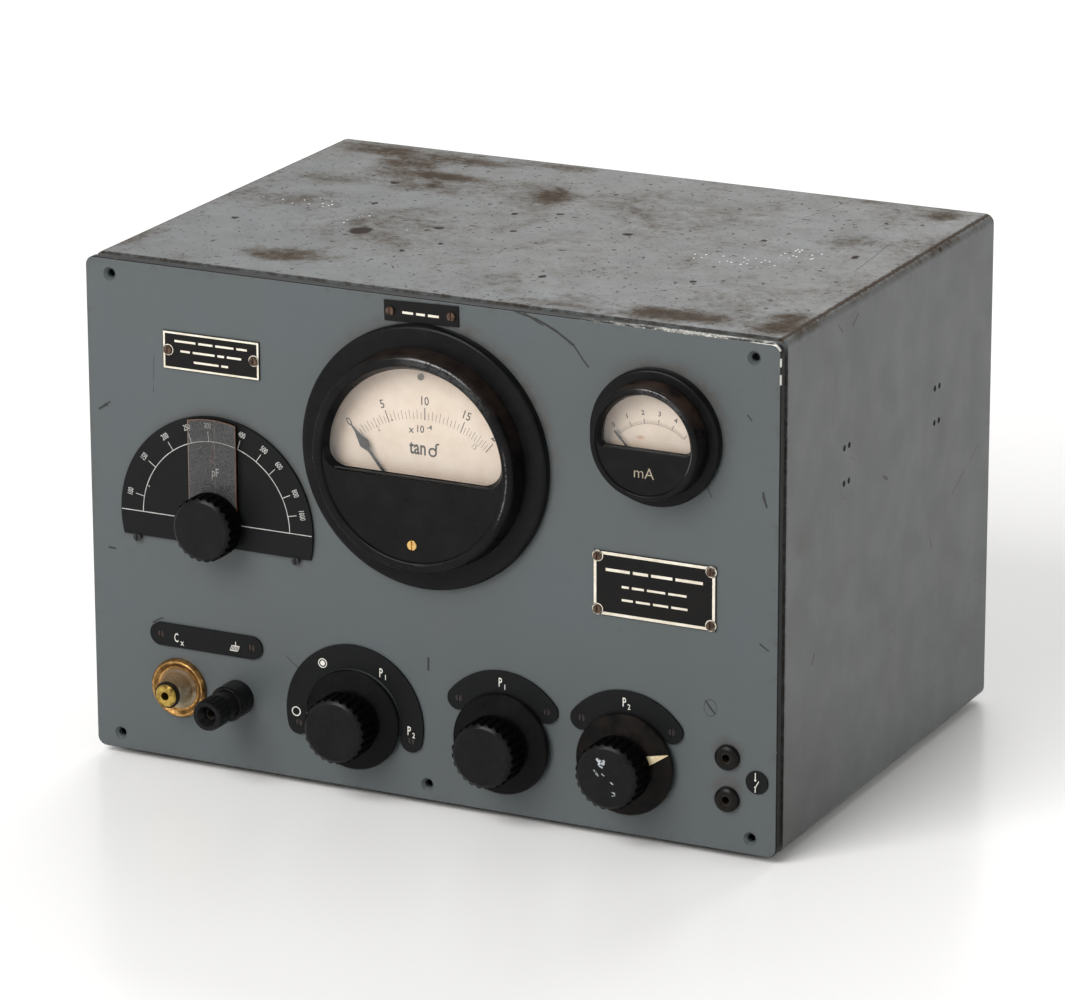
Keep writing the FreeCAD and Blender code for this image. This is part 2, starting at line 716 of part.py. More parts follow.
def small_needle():
    """Needle of the small meter, with a broader tip."""
    outline = [(0, 0.4), (21.0, 0.3), (22.0, 0.6), (26.0, 0.45)]
    return needle(SMALL, SMALL_DROP, SMALL_REST, outline, 5.0, 0.7, (4.4, -26.0, -11.0))


def zero_screw():
    """Slotted brass screw in the large meter's face that sets its zero."""
    x, z = ZERO_SCREW
    screw = round_rims(rod(x, z, ZERO_SCREW_R, 8.6, 15.6), [(ZERO_SCREW_R, 15.6, 0.4)])
    return screw.cut(block(x - 0.4, x + 0.4, 14.6, 15.6 + PAST, z - ZERO_SCREW_R, z + ZERO_SCREW_R))


# ---- terminals and sockets ----

def terminal_ring():
    """Dished brass ring on the panel round the capacitor terminal."""
    profile = [(9.8, 0), (14.4, 0), (14.4, 1.4), (13.4, 2.8), (12.6, 2.8), (10.9, 1.5), (9.8, 1.5)]
    return round_rims(turned(*TERMINAL, profile), [(13.4, 2.8, 0.35), (14.4, 1.4, 0.5)])


def terminal_insulator():
    """Ceramic cone of the capacitor terminal, shouldered through the panel."""
    profile = [(TERMINAL_STEM_R, TERMINAL_BACK), (TERMINAL_HOLE_R, TERMINAL_BACK), (TERMINAL_HOLE_R, 0),
               (9.8, 0), (9.8, 1.9), (8.6, 3.2), (6.4, 11.2), (TERMINAL_STEM_R, 11.2)]
    return round_rims(turned(*TERMINAL, profile), [(6.4, 11.2, 0.5), (9.8, 1.9, 0.4)])


def terminal_washer():
    """Black washer between the ceramic and the brass tip."""
    return tube(*TERMINAL, 6.4, TERMINAL_STEM_R, 11.2, 12.4)


def terminal_socket():
    """Brass tip of the capacitor terminal with its stem, bored for a plug."""
    profile = [(0, -18), (TERMINAL_STEM_R, -18), (TERMINAL_STEM_R, 12.4), (5.4, 12.4), (5.4, 13.6),
               (4.6, TERMINAL_TOP), (PLUG_R, TERMINAL_TOP), (PLUG_R, -5.6), (0, -5.6)]
    return turned(*TERMINAL, profile)


def post_base():
    """Black collar of the binding post."""
    profile = [(POST_STEM_R, 0), (8.6, 0), (8.6, 10.8), (8.0, POST_BASE_TOP), (POST_STEM_R, POST_BASE_TOP)]
    return round_rims(turned(*POST, profile), [(8.0, POST_BASE_TOP, 0.4)])


def post_stem():
    """Threaded stem of the binding post, bored for a plug."""
    profile = [(0, -18), (POST_STEM_R, -18), (POST_STEM_R, POST_STEM_TOP), (PLUG_R, POST_STEM_TOP),
               (PLUG_R, 4), (0, 4)]
    return turned(*POST, profile)


def post_washer():
    """Pressure washer that rides in and out with the binding post's cap."""
    return tube(*POST, 6.6, POST_STEM_R + RUNNING_GAP, POST_BASE_TOP, POST_BASE_TOP + POST_WASHER_T)


def post_cap():
    """Knurled cap of the binding post, countersunk for the plug."""
    low = POST_BASE_TOP + POST_WASHER_T
    bore = POST_STEM_R + RUNNING_GAP
    profile = [(bore, low), (6.9, low), (6.9, 19.4), (7.5, 20.0), (7.5, 29.0), (6.8, POST_REACH),
               (4.9, POST_REACH), (2.6, 27.0), (2.6, 26.0), (bore, 26.0)]
    cap = turned(*POST, profile)
    return cap.cut(flutes(POST, 8.0, 18, 0.85, 20.6, POST_REACH + PAST))


def socket_collars():
    """Domed insulating collars of the two sockets."""
    profile = [(SLEEVE_R, -PANEL_T), (SOCKET_HOLE_R, -PANEL_T), (SOCKET_HOLE_R, 0), (6.0, 0), (5.8, 2.0),
               (4.4, 3.0), (SLEEVE_R, 3.0)]
    collars = []
    for z in SOCKET_HEIGHTS:
        collars.append(round_rims(turned(SOCKET_X, z, profile), [(5.8, 2.0, 0.8), (4.4, 3.0, 0.6)]))
    return collars


def socket_sleeves():
    """Brass sleeves of the two sockets, closed at the back."""
    sleeves = []
    for z in SOCKET_HEIGHTS:
        sleeve = rod(SOCKET_X, z, SLEEVE_R, -15.0, 2.4)
        sleeves.append(sleeve.cut(rod(SOCKET_X, z, PLUG_R, -13.0, 2.4 + PAST)))
    return sleeves


# ---- spindles, knobs and what they drive ----

def flutes(spindle, radius, count, flute_r, out0, out1):
    """Cutters for grooves spaced evenly round a grip."""
    x, z = spindle
    cutters = []
    for k in range(count):
        turn = 2 * math.pi * k / count
        cutters.append(rod(x + radius * math.cos(turn), z + radius * math.sin(turn), flute_r, out0, out1))
    return Part.makeCompound(cutters)


def shaft_bushes():
    """Threaded bushes that carry the four spindles through the panel."""
    return [tube(x, z, BUSH_R, SHAFT_R + RUNNING_GAP, BUSH_BACK, BUSH_NUT_T) for x, z in SPINDLES]


def panel_nuts():
    """Nuts on the spindle bushes in front, and on the terminals and sockets behind."""
    nuts = [hex_nut(x, z, BUSH_NUT_R, BUSH_R, 0, BUSH_NUT_T) for x, z in SPINDLES]
    back = -PANEL_T - REAR_NUT_T
    nuts += [hex_nut(SOCKET_X, z, REAR_NUT_R, SLEEVE_R, back, -PANEL_T) for z in SOCKET_HEIGHTS]
    nuts.append(hex_nut(*POST, REAR_NUT_R, POST_STEM_R, back, -PANEL_T))
    nuts.append(hex_nut(*TERMINAL, REAR_NUT_R, TERMINAL_STEM_R, TERMINAL_BACK - REAR_NUT_T, TERMINAL_BACK))
    return nuts


def skirted_knob(spindle):
    """Knob with a broad sloping skirt and a fluted cap."""
    profile = [(0, KNOB_BORE_TOP), (0, KNOB_TOP), (13.6, KNOB_TOP), (CAP_R, 21.4), (CAP_R, 9.0), (14.2, 8.0),
               (13.8, 6.4), (SKIRT_R - 0.6, 4.0), (SKIRT_R, 3.4), (SKIRT_R, SKIRT_BASE), (8.0, SKIRT_BASE),
               (8.0, 5.0), (SHAFT_R, 5.0), (SHAFT_R, KNOB_BORE_TOP)]
    knob = round_rims(turned(*spindle, profile), [(13.6, KNOB_TOP, 1.6)])
    return knob.cut(flutes(spindle, CAP_R + 0.35, FLUTES, FLUTE_R, 10.4, KNOB_TOP + PAST))


def tuning_knob():
    """Plain fluted knob that bears on the cursor."""
    base = CURSOR_BACK + CURSOR_T
    profile = [(0, TUNING_BORE_TOP), (0, TUNING_KNOB_TOP), (13.4, TUNING_KNOB_TOP), (TUNING_KNOB_R, 15.0),
               (TUNING_KNOB_R, 5.4), (14.4, base), (SHAFT_R, base), (SHAFT_R, TUNING_BORE_TOP)]
    knob = round_rims(turned(*TUNING, profile), [(13.4, TUNING_KNOB_TOP, 1.4)])
    return knob.cut(flutes(TUNING, TUNING_KNOB_R + 0.35, FLUTES, FLUTE_R, 6.6, TUNING_KNOB_TOP + PAST))


def tuning_cursor():
    """Clear cursor plate over the dial, its top edge bent like the dial's."""
    x, z = TUNING
    half = CURSOR_W / 2
    front = CURSOR_BACK + CURSOR_T
    strip = block(x - half, x + half, CURSOR_BACK, front, z - CURSOR_TAIL, z + CURSOR_R)
    strip = strip.common(rod(x, z, CURSOR_R, CURSOR_BACK, front))
    corners = [e for e in strip.Edges if e.BoundBox.YLength > 1 and e.CenterOfMass.z < Z_PANEL + z]
    strip = strip.makeFillet(CURSOR_CORNER, corners)
    return strip.cut(rod(x, z, SHAFT_R, CURSOR_BACK - PAST, front + PAST))


def half_disc(radius, out0, side):
    """Half of a thin disc on the tuning spindle: side "low" is its lower half, "left" its left half."""
    x, z = TUNING
    disc = rod(x, z, radius, out0, out0 + VANE_T)
    if side == "low":
        keep = block(x - radius, x + radius, out0, out0 + VANE_T, z - radius, z)
    else:
        keep = block(x - radius, x, out0, out0 + VANE_T, z - radius, z + radius)
    return disc.common(keep)


def tuning_rotor():
    """Spindle of the tuning capacitor with its half-round vanes."""
    x, z = TUNING
    last = VANE_FIRST - (ROTOR_VANES - 1) * VANE_PITCH
    parts = [rod(x, z, 5.0, last - VANE_T, VANE_FIRST + 2 * VANE_T)]
    parts += [half_disc(VANE_R, VANE_FIRST - k * VANE_PITCH, "low") for k in range(ROTOR_VANES)]
    return rod(x, z, SHAFT_R, CAP_FRAME_BACK, TUNING_BORE_TOP).fuse(parts).removeSplitter()


def capacitor_stator():
    """Fixed vanes of the tuning capacitor on their two rods."""
    x, z = TUNING
    vanes = []
    for k in range(ROTOR_VANES - 1):
        out = VANE_FIRST - (k + 0.5) * VANE_PITCH
        vane = half_disc(STATOR_R, out, "left")
        vanes.append(vane.cut(rod(x, z, STATOR_HOLE_R, out - PAST, out + 2 * PAST)))
    rods = []
    for angle in (150, 210):
        turn = math.radians(angle)
        rods.append(rod(x + STATOR_ROD_AT * math.cos(turn), z + STATOR_ROD_AT * math.sin(turn), STATOR_ROD_R,
                        CAP_FRAME_BACK + CAP_FRAME_T, CAP_FRAME_FRONT - CAP_FRAME_T))
    return rods[0].fuse(rods[1:] + vanes).removeSplitter()


def capacitor_frame():
    """End plates, base and tie rods of the tuning capacitor."""
    x, z = TUNING
    low, high = x - CAP_FRAME_HALF, x + CAP_FRAME_HALF
    front = CAP_FRAME_FRONT
    back = CAP_FRAME_BACK
    inner_front = front - CAP_FRAME_T
    inner_back = back + CAP_FRAME_T
    parts = [
        block(low, high, back, inner_back, DECK_TOP, CAP_FRAME_TOP),
        block(low, high, back, front, DECK_TOP, DECK_TOP + CAP_FRAME_T),
    ]
    for side in (-1, 1):
        parts.append(rod(x + side * (CAP_FRAME_HALF - 3), CAP_FRAME_TOP - 3, 1.8, inner_back, inner_front))
    frame = block(low, high, inner_front, front, DECK_TOP, CAP_FRAME_TOP).fuse(parts).removeSplitter()
    return frame.cut(rod(x, z, SHAFT_R + RUNNING_GAP, back - PAST, front + PAST))


def preset_pot(spindle):
    """Variable resistor on the back of the panel round a spindle's bush."""
    body = round_rims(rod(*spindle, POT_R, POT_BACK, -PANEL_T), [(POT_R, POT_BACK, POT_ROUND)])
    body = body.cut(rod(*spindle, BUSH_R, BUSH_BACK, -PANEL_T + PAST))
    return body.cut(rod(*spindle, SHAFT_R + RUNNING_GAP, POT_BACK - PAST, 0))


def preset_shaft(spindle):
    """Spindle of a variable resistor."""
    return rod(*spindle, SHAFT_R, POT_BACK + 1, KNOB_BORE_TOP)


def selector_wafers():
    """Fixed part of the selector: front plate, two wafers and the rods between them."""
    x, z = SELECTOR
    hole_r = CONTACT_R + WAFER_GAP
    parts = [tube(x, z, WAFER_R, hole_r, out - WAFER_T, out) for out in WAFER_OUTS]
    last = min(WAFER_OUTS) - WAFER_T
    parts += [rod(x + side * WAFER_ROD_AT, z, WAFER_ROD_R, last, WAFER_PLATE_BACK) for side in (-1, 1)]
    return tube(x, z, WAFER_R, BUSH_R, WAFER_PLATE_BACK, -PANEL_T).fuse(parts).removeSplitter()


def selector_shaft():
    """Spindle of the selector with its two contact discs."""
    discs = [rod(*SELECTOR, CONTACT_R, out - WAFER_T, out) for out in WAFER_OUTS]
    return rod(*SELECTOR, SHAFT_R, WAFER_SHAFT_BACK, KNOB_BORE_TOP).fuse(discs).removeSplitter()


# ---- chassis ----

def chassis_sides():
    """Side plates from the panel's back to the chassis's rear, each with a lower flange."""
    outline = [(-PANEL_T, CHASSIS_LOW), (CHASSIS_BACK, CHASSIS_LOW), (CHASSIS_BACK, DECK_TOP),
               (GUSSET_BACK, DECK_TOP), (GUSSET_FRONT, GUSSET_TOP), (-PANEL_T, GUSSET_TOP)]
    sides = []
    for side in (-1, 1):
        start = min(side * SIDE_X, side * (SIDE_X - SHEET))
        corners = [at(start, out, z) for out, z in outline]
        plate = Part.Face(Part.makePolygon(corners + corners[:1])).extrude(ACROSS * SHEET)
        inner = side * (SIDE_X - SHEET)
        flange_x = sorted((inner, inner - side * SIDE_FLANGE))
        flange = block(*flange_x, CHASSIS_BACK, FLANGE_FRONT, CHASSIS_LOW, CHASSIS_LOW + SHEET)
        sides.append(outward_solid(plate).fuse(flange).removeSplitter())
    return sides


def chassis_deck():
    """Deck between the side plates, folded down at the back."""
    half = SIDE_X - SHEET
    deck = block(-half, half, CHASSIS_BACK, DECK_FRONT, DECK_TOP - SHEET, DECK_TOP)
    apron = block(-half, half, CHASSIS_BACK, CHASSIS_BACK + SHEET, CHASSIS_LOW + SHEET, DECK_TOP - SHEET)
    deck = deck.fuse(apron).removeSplitter()
    low = DECK_TOP - 2 * SHEET
    holes = [Part.makeCylinder(VALVE_HOLE_R, 4 * SHEET, at(x, out, low)) for x, out in VALVES]
    return deck.cut(Part.makeCompound(holes))


def valve_sockets():
    """Flanged valve holders let into the deck."""
    profile = [(0, 78.0), (VALVE_HOLE_R, 78.0), (VALVE_HOLE_R, DECK_TOP), (13.5, DECK_TOP),
               (13.5, DECK_TOP + 2.0), (0, DECK_TOP + 2.0)]
    return [turned_upright(x, out, profile) for x, out in VALVES]


def valves():
    """Metal-shelled valves standing in their holders."""
    low = DECK_TOP + 2.0
    profile = [(0, low), (16.5, low), (16.5, low + 9.0), (21.0, low + 9.0), (21.0, low + 11.5),
               (17.5, low + 12.5), (17.5, low + 37.0), (14.5, low + 41.0), (0, low + 42.0)]
    return [turned_upright(x, out, profile) for x, out in VALVES]


def coil_can():
    """Square screening can with rounded edges over the oscillator's coils."""
    x, out = COIL_CAN
    half = COIL_CAN_HALF
    top = DECK_TOP + COIL_CAN_H
    body = block(x - half, x + half, out - half, out + half, DECK_TOP, top)
    rims = [e for e in body.Edges if e.BoundBox.ZLength > 1 or e.CenterOfMass.z > Z_PANEL + top - 1]
    return body.makeFillet(COIL_CAN_ROUND, rims)


def smoothing_capacitor():
    """Upright can of the smoothing capacitor with its rolled neck."""
    r = SMOOTHING_R
    top = DECK_TOP + SMOOTHING_H
    profile = [(0, DECK_TOP), (r, DECK_TOP), (r, top - 10), (r - 1.2, top - 8.8), (r - 1.2, top - 8.0),
               (r, top - 6.8), (r, top - 1.5), (r - 1.5, top), (0, top)]
    return turned_upright(*SMOOTHING, profile)


def transformer_core():
    """Laminated core with two windows, on mounting feet."""
    half = CORE_W / 2
    front, back = CORE_OUT + CORE_T / 2, CORE_OUT - CORE_T / 2
    top = CORE_LOW + CORE_H
    core = block(CORE_X - half, CORE_X + half, back, front, CORE_LOW, top)
    for side in (-1, 1):
        window = sorted((CORE_X + side * CORE_LIMB, CORE_X + side * 2 * CORE_LIMB))
        core = core.cut(block(*window, back - PAST, front + PAST, CORE_LOW + CORE_LIMB, top - CORE_LIMB))
    feet = block(CORE_X - half - 4, CORE_X + half + 4, back, front, DECK_TOP, CORE_LOW)
    return core.fuse(feet).removeSplitter()


def transformer_winding():
    """Winding round the core's middle limb."""
    half = 2 * CORE_LIMB - 0.3
    front, back = CORE_OUT + CORE_T / 2, CORE_OUT - CORE_T / 2
    low, high = CORE_LOW + CORE_LIMB + 0.3, CORE_LOW + CORE_H - CORE_LIMB - 0.3
    body = block(CORE_X - half, CORE_X + half, back - WINDING_OVERHANG, front + WINDING_OVERHANG, low, high)
    body = body.makeFillet(4.0, [e for e in body.Edges if e.BoundBox.ZLength > 1])
    return body.cut(block(CORE_X - CORE_LIMB, CORE_X + CORE_LIMB, back, front, low - PAST, high + PAST))


def mains_inlet():
    """Recessed inlet on the chassis's rear fold, and its two pins."""
    back = -CASE_BACK + 0.5
    half_w, half_h = INLET_W / 2, INLET_H / 2
    body = block(INLET_X - half_w, INLET_X + half_w, back, CHASSIS_BACK, INLET_Z - half_h, INLET_Z + half_h)
    floor = CHASSIS_BACK - INLET_FLOOR
    recess = block(INLET_X - half_w + INLET_RIM, INLET_X + half_w - INLET_RIM, back - PAST, floor,
                   INLET_Z - half_h + INLET_RIM, INLET_Z + half_h - INLET_RIM)
    pins = []
    for side in (-1, 1):
        x = INLET_X + side * INLET_PIN_OFFSET
        pins.append(rod(x, INLET_Z, INLET_PIN_R, floor - INLET_PIN_LENGTH, floor))
    return [body.cut(recess)] + pins


NODES = {
    "case_shell": case_shell,
    "case_front_frame": case_front_frame,
    "frame_bosses": frame_bosses,
    "case_feet": case_feet,
    "chassis_runners": chassis_runners,
    "front_panel": front_panel,
    "panel_gasket": panel_gasket,
    "maker_plate": lambda: engraved_plate(MAKER_PLATE),
    "rating_plate": lambda: engraved_plate(RATING_PLATE),
    "inventory_plate": lambda: engraved_plate(INVENTORY_PLATE),
    "plate_screws": plate_screws,
    "terminal_label": terminal_label,
    "selector_label": lambda: control_label(SELECTOR, SELECTOR_LABEL_R, SELECTOR_LABEL_ENDS),
    "preset_labels": lambda: [control_label(p, PRESET_LABEL_R, PRESET_LABEL_ENDS) for p in PRESETS],
    "label_screws": label_screws,
    "capacitance_dial": capacitance_dial,
    "symbol_disc": symbol_disc,
    "main_meter_cover": main_meter_cover,
    "small_meter_cover": small_meter_cover,
    "meter_glasses": meter_glasses,
    "meter_dials": meter_dials,
    "meter_cans": meter_cans,
    "meter_movements": meter_movements,
    "main_needle": main_needle,
    "small_needle": small_needle,
    "zero_screw": zero_screw,
    "terminal_ring": terminal_ring,
    "terminal_insulator": terminal_insulator,
    "terminal_washer": terminal_washer,
    "terminal_socket": terminal_socket,
    "post_base": post_base,
    "post_stem": post_stem,
    "post_washer": post_washer,
    "post_cap": post_cap,
    "socket_collars": socket_collars,
    "socket_sleeves": socket_sleeves,
    "shaft_bushes": shaft_bushes,
    "panel_nuts": panel_nuts,
    "tuning_knob": tuning_knob,
    "tuning_cursor": tuning_cursor,
    "tuning_rotor": tuning_rotor,
    "capacitor_stator": capacitor_stator,
    "capacitor_frame": capacitor_frame,
    "selector_knob": lambda: skirted_knob(SELECTOR),
    "selector_shaft": selector_shaft,
    "selector_wafers": selector_wafers,
    "preset_1_knob": lambda: skirted_knob(PRESET_1),
    "preset_1_shaft": lambda: preset_shaft(PRESET_1),
    "preset_2_knob": lambda: skirted_knob(PRESET_2),
    "preset_2_shaft": lambda: preset_shaft(PRESET_2),
    "preset_pots": lambda: [preset_pot(p) for p in PRESETS],
    "chassis_sides": chassis_sides,
    "chassis_deck": chassis_deck,
    "valve_sockets": valve_sockets,
    "valves": valves,
    "coil_can": coil_can,
    "smoothing_capacitor": smoothing_capacitor,
    "transformer_core": transformer_core,
    "transformer_winding": transformer_winding,
    "mains_inlet": mains_inlet,
}


def main():
    """Build every node and write it as STEP."""
    os.makedirs("parts", exist_ok=True)
    for name, build in NODES.items():
        shape = build()
        if isinstance(shape, list):
            shape = Part.makeCompound(shape)
        shape.exportStep(f"parts/{name}.step")


main()
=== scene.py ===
import json
import math
from functools import reduce

import bmesh
import bpy
from mathutils import Matrix, Vector


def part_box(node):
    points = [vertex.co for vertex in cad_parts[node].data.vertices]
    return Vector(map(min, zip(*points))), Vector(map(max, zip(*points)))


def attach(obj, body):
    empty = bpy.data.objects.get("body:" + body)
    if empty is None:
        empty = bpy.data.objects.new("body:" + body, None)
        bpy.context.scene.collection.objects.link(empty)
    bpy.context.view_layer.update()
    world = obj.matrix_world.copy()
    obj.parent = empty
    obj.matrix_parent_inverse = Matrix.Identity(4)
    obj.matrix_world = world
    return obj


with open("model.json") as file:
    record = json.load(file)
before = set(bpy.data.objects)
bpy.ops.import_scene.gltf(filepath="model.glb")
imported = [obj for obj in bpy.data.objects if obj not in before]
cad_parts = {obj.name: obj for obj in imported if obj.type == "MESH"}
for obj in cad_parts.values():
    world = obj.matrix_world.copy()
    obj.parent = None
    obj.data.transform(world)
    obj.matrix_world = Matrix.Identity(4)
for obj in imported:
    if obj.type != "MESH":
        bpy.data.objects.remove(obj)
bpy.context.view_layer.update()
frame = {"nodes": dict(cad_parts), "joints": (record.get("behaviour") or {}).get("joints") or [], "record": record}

# Looks of a bench bridge for sorting capacitors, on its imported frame.
#
# Features are placed from the panel in millimetres: x across from its middle, z up from its
# lower edge and "out" in front of its face. Materials work in millimetres of the part's own
# frame, so that every pattern stays on its piece when the piece moves.

MM = 0.001
NODES = frame["nodes"]


def corners(node):
    """Lowest and highest corner of a node at rest, in millimetres."""
    low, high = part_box(node)
    return low / MM, high / MM


PANEL_LOW, PANEL_HIGH = corners("front_panel")
FACE_Y = PANEL_LOW.y
PANEL_Z = PANEL_LOW.z
PANEL_H = PANEL_HIGH.z - PANEL_LOW.z
PANEL_HALF = PANEL_HIGH.x
CASE_LOW, CASE_HIGH = corners("case_shell")
ROOF = CASE_HIGH.z


def middle(node):
    """Panel x and z of a node's middle."""
    low, high = corners(node)
    return (low.x + high.x) / 2, (low.z + high.z) / 2 - PANEL_Z


def reach(node):
    """How far a node stands out in front of the panel's face."""
    return FACE_Y - corners(node)[0].y


def pivot(joint):
    """Panel x and z of a joint's axis."""
    for found in frame["joints"]:
        if found["name"] == joint:
            x, _, z = found["pos_m"]
            return x / MM, z / MM - PANEL_Z
    raise ValueError(joint)


TUNING = pivot("tuning_turn")
SELECTOR = pivot("selector_turn")
PRESET_1 = pivot("preset_1_turn")
PRESET_2 = pivot("preset_2_turn")
MAIN = middle("main_meter_cover")
SMALL = middle("small_meter_cover")
MAIN_PIVOT = pivot("main_needle_swing")
SMALL_PIVOT = pivot("small_needle_swing")
TERMINAL = middle("terminal_ring")
SYMBOL = middle("symbol_disc")
MAKER_PLATE = middle("maker_plate")
RATING_PLATE = middle("rating_plate")
INVENTORY_PLATE = middle("inventory_plate")
TERMINAL_LABEL = middle("terminal_label")

DIAL_FACE = reach("capacitance_dial")
LABEL_FACE = reach("terminal_label")
PLATE_FACE = reach("maker_plate")
SCALE_FACE = reach("meter_dials")
CURSOR_FACE = reach("tuning_cursor")
SYMBOL_FACE = reach("symbol_disc")

CORNER_R = 4.5              # corners of the panel
DIAL_R = 50.7               # half-round tuning dial
COLLAR_R = 6.6              # collars of the sockets
MAIN_WINDOW = (42.9, 4.9)   # radius of a meter's window, and its straight edge's drop below the middle
SMALL_WINDOW = (21.2, 1.9)
MAIN_COVER_FACE = 15.0      # how far the flat front of a meter's cover stands out
SMALL_COVER_FACE = 14.4
INLET_PIN_R = 2.4
INLET_PIN_OFFSET = 6.35
TUNING_KNOB = (4.4, 16.5)   # how far the foot of a knob's wall and its face stand out
SKIRTED_KNOB = (8.5, 23.0)
SKIRT = ((14.0, 6.45), (23.6, 4.0))     # inner and outer radius of a skirt, and how far it stands out there
SCUFF = 0.08                # size of the scuffs that grey the cursor
CAPITAL_SHARE = 0.72        # height of a capital letter as a share of the built-in font's size

SOCKET_LOW, SOCKET_HIGH = corners("socket_collars")
SOCKETS = [((SOCKET_LOW.x + SOCKET_HIGH.x) / 2, z - PANEL_Z)
           for z in (SOCKET_HIGH.z - COLLAR_R, SOCKET_LOW.z + COLLAR_R)]


def ahead(x, z, out=0.0):
    """Point placed from the panel, in the frame's millimetres."""
    return x, FACE_Y - out, PANEL_Z + z


def at(x, out, z):
    """Point placed from the panel, in metres."""
    return Vector(ahead(x, z, out)) * MM


def spot(centre, radius, degrees):
    """Panel x and z of a point at a radius and a direction from a centre."""
    turn = math.radians(degrees)
    return centre[0] + radius * math.cos(turn), centre[1] + radius * math.sin(turn)


# ---- tools for materials ----

FINISHES = {}               # materials by their own name, which is often a slot's or a node's


def linear(level):
    """Linear value of an sRGB level from 0 to 255."""
    share = level / 255
    return share / 12.92 if share <= 0.04045 else ((share + 0.055) / 1.055) ** 2.4


def rgb(red, green, blue):
    """Colour from sRGB levels."""
    return (linear(red), linear(green), linear(blue), 1.0)


def arithmetic(operation):
    """Method of a wire that feeds it and another value to a math node."""
    def method(wire, other=0.0):
        return wire.finish.math(operation, wire, other)
    return method


class Wire:
    """A value in a material, on which plain arithmetic works."""

    def __init__(self, finish, socket):
        self.finish = finish
        self.socket = socket

    def __rsub__(self, other):
        return self.finish.math("SUBTRACT", other, self)

    __add__ = __radd__ = arithmetic("ADD")
    __sub__ = arithmetic("SUBTRACT")
    __mul__ = __rmul__ = arithmetic("MULTIPLY")
    __truediv__ = arithmetic("DIVIDE")
    __pow__ = arithmetic("POWER")
    least = arithmetic("MINIMUM")
    most = arithmetic("MAXIMUM")
    size = arithmetic("ABSOLUTE")

    def fade(self, start, end):
        """0 at start and 1 at end, smooth between them."""
        ends = {"Value": self, "From Min": start, "From Max": end}
        return self.finish.node("ShaderNodeMapRange", ends, "Result", interpolation_type="SMOOTHSTEP")


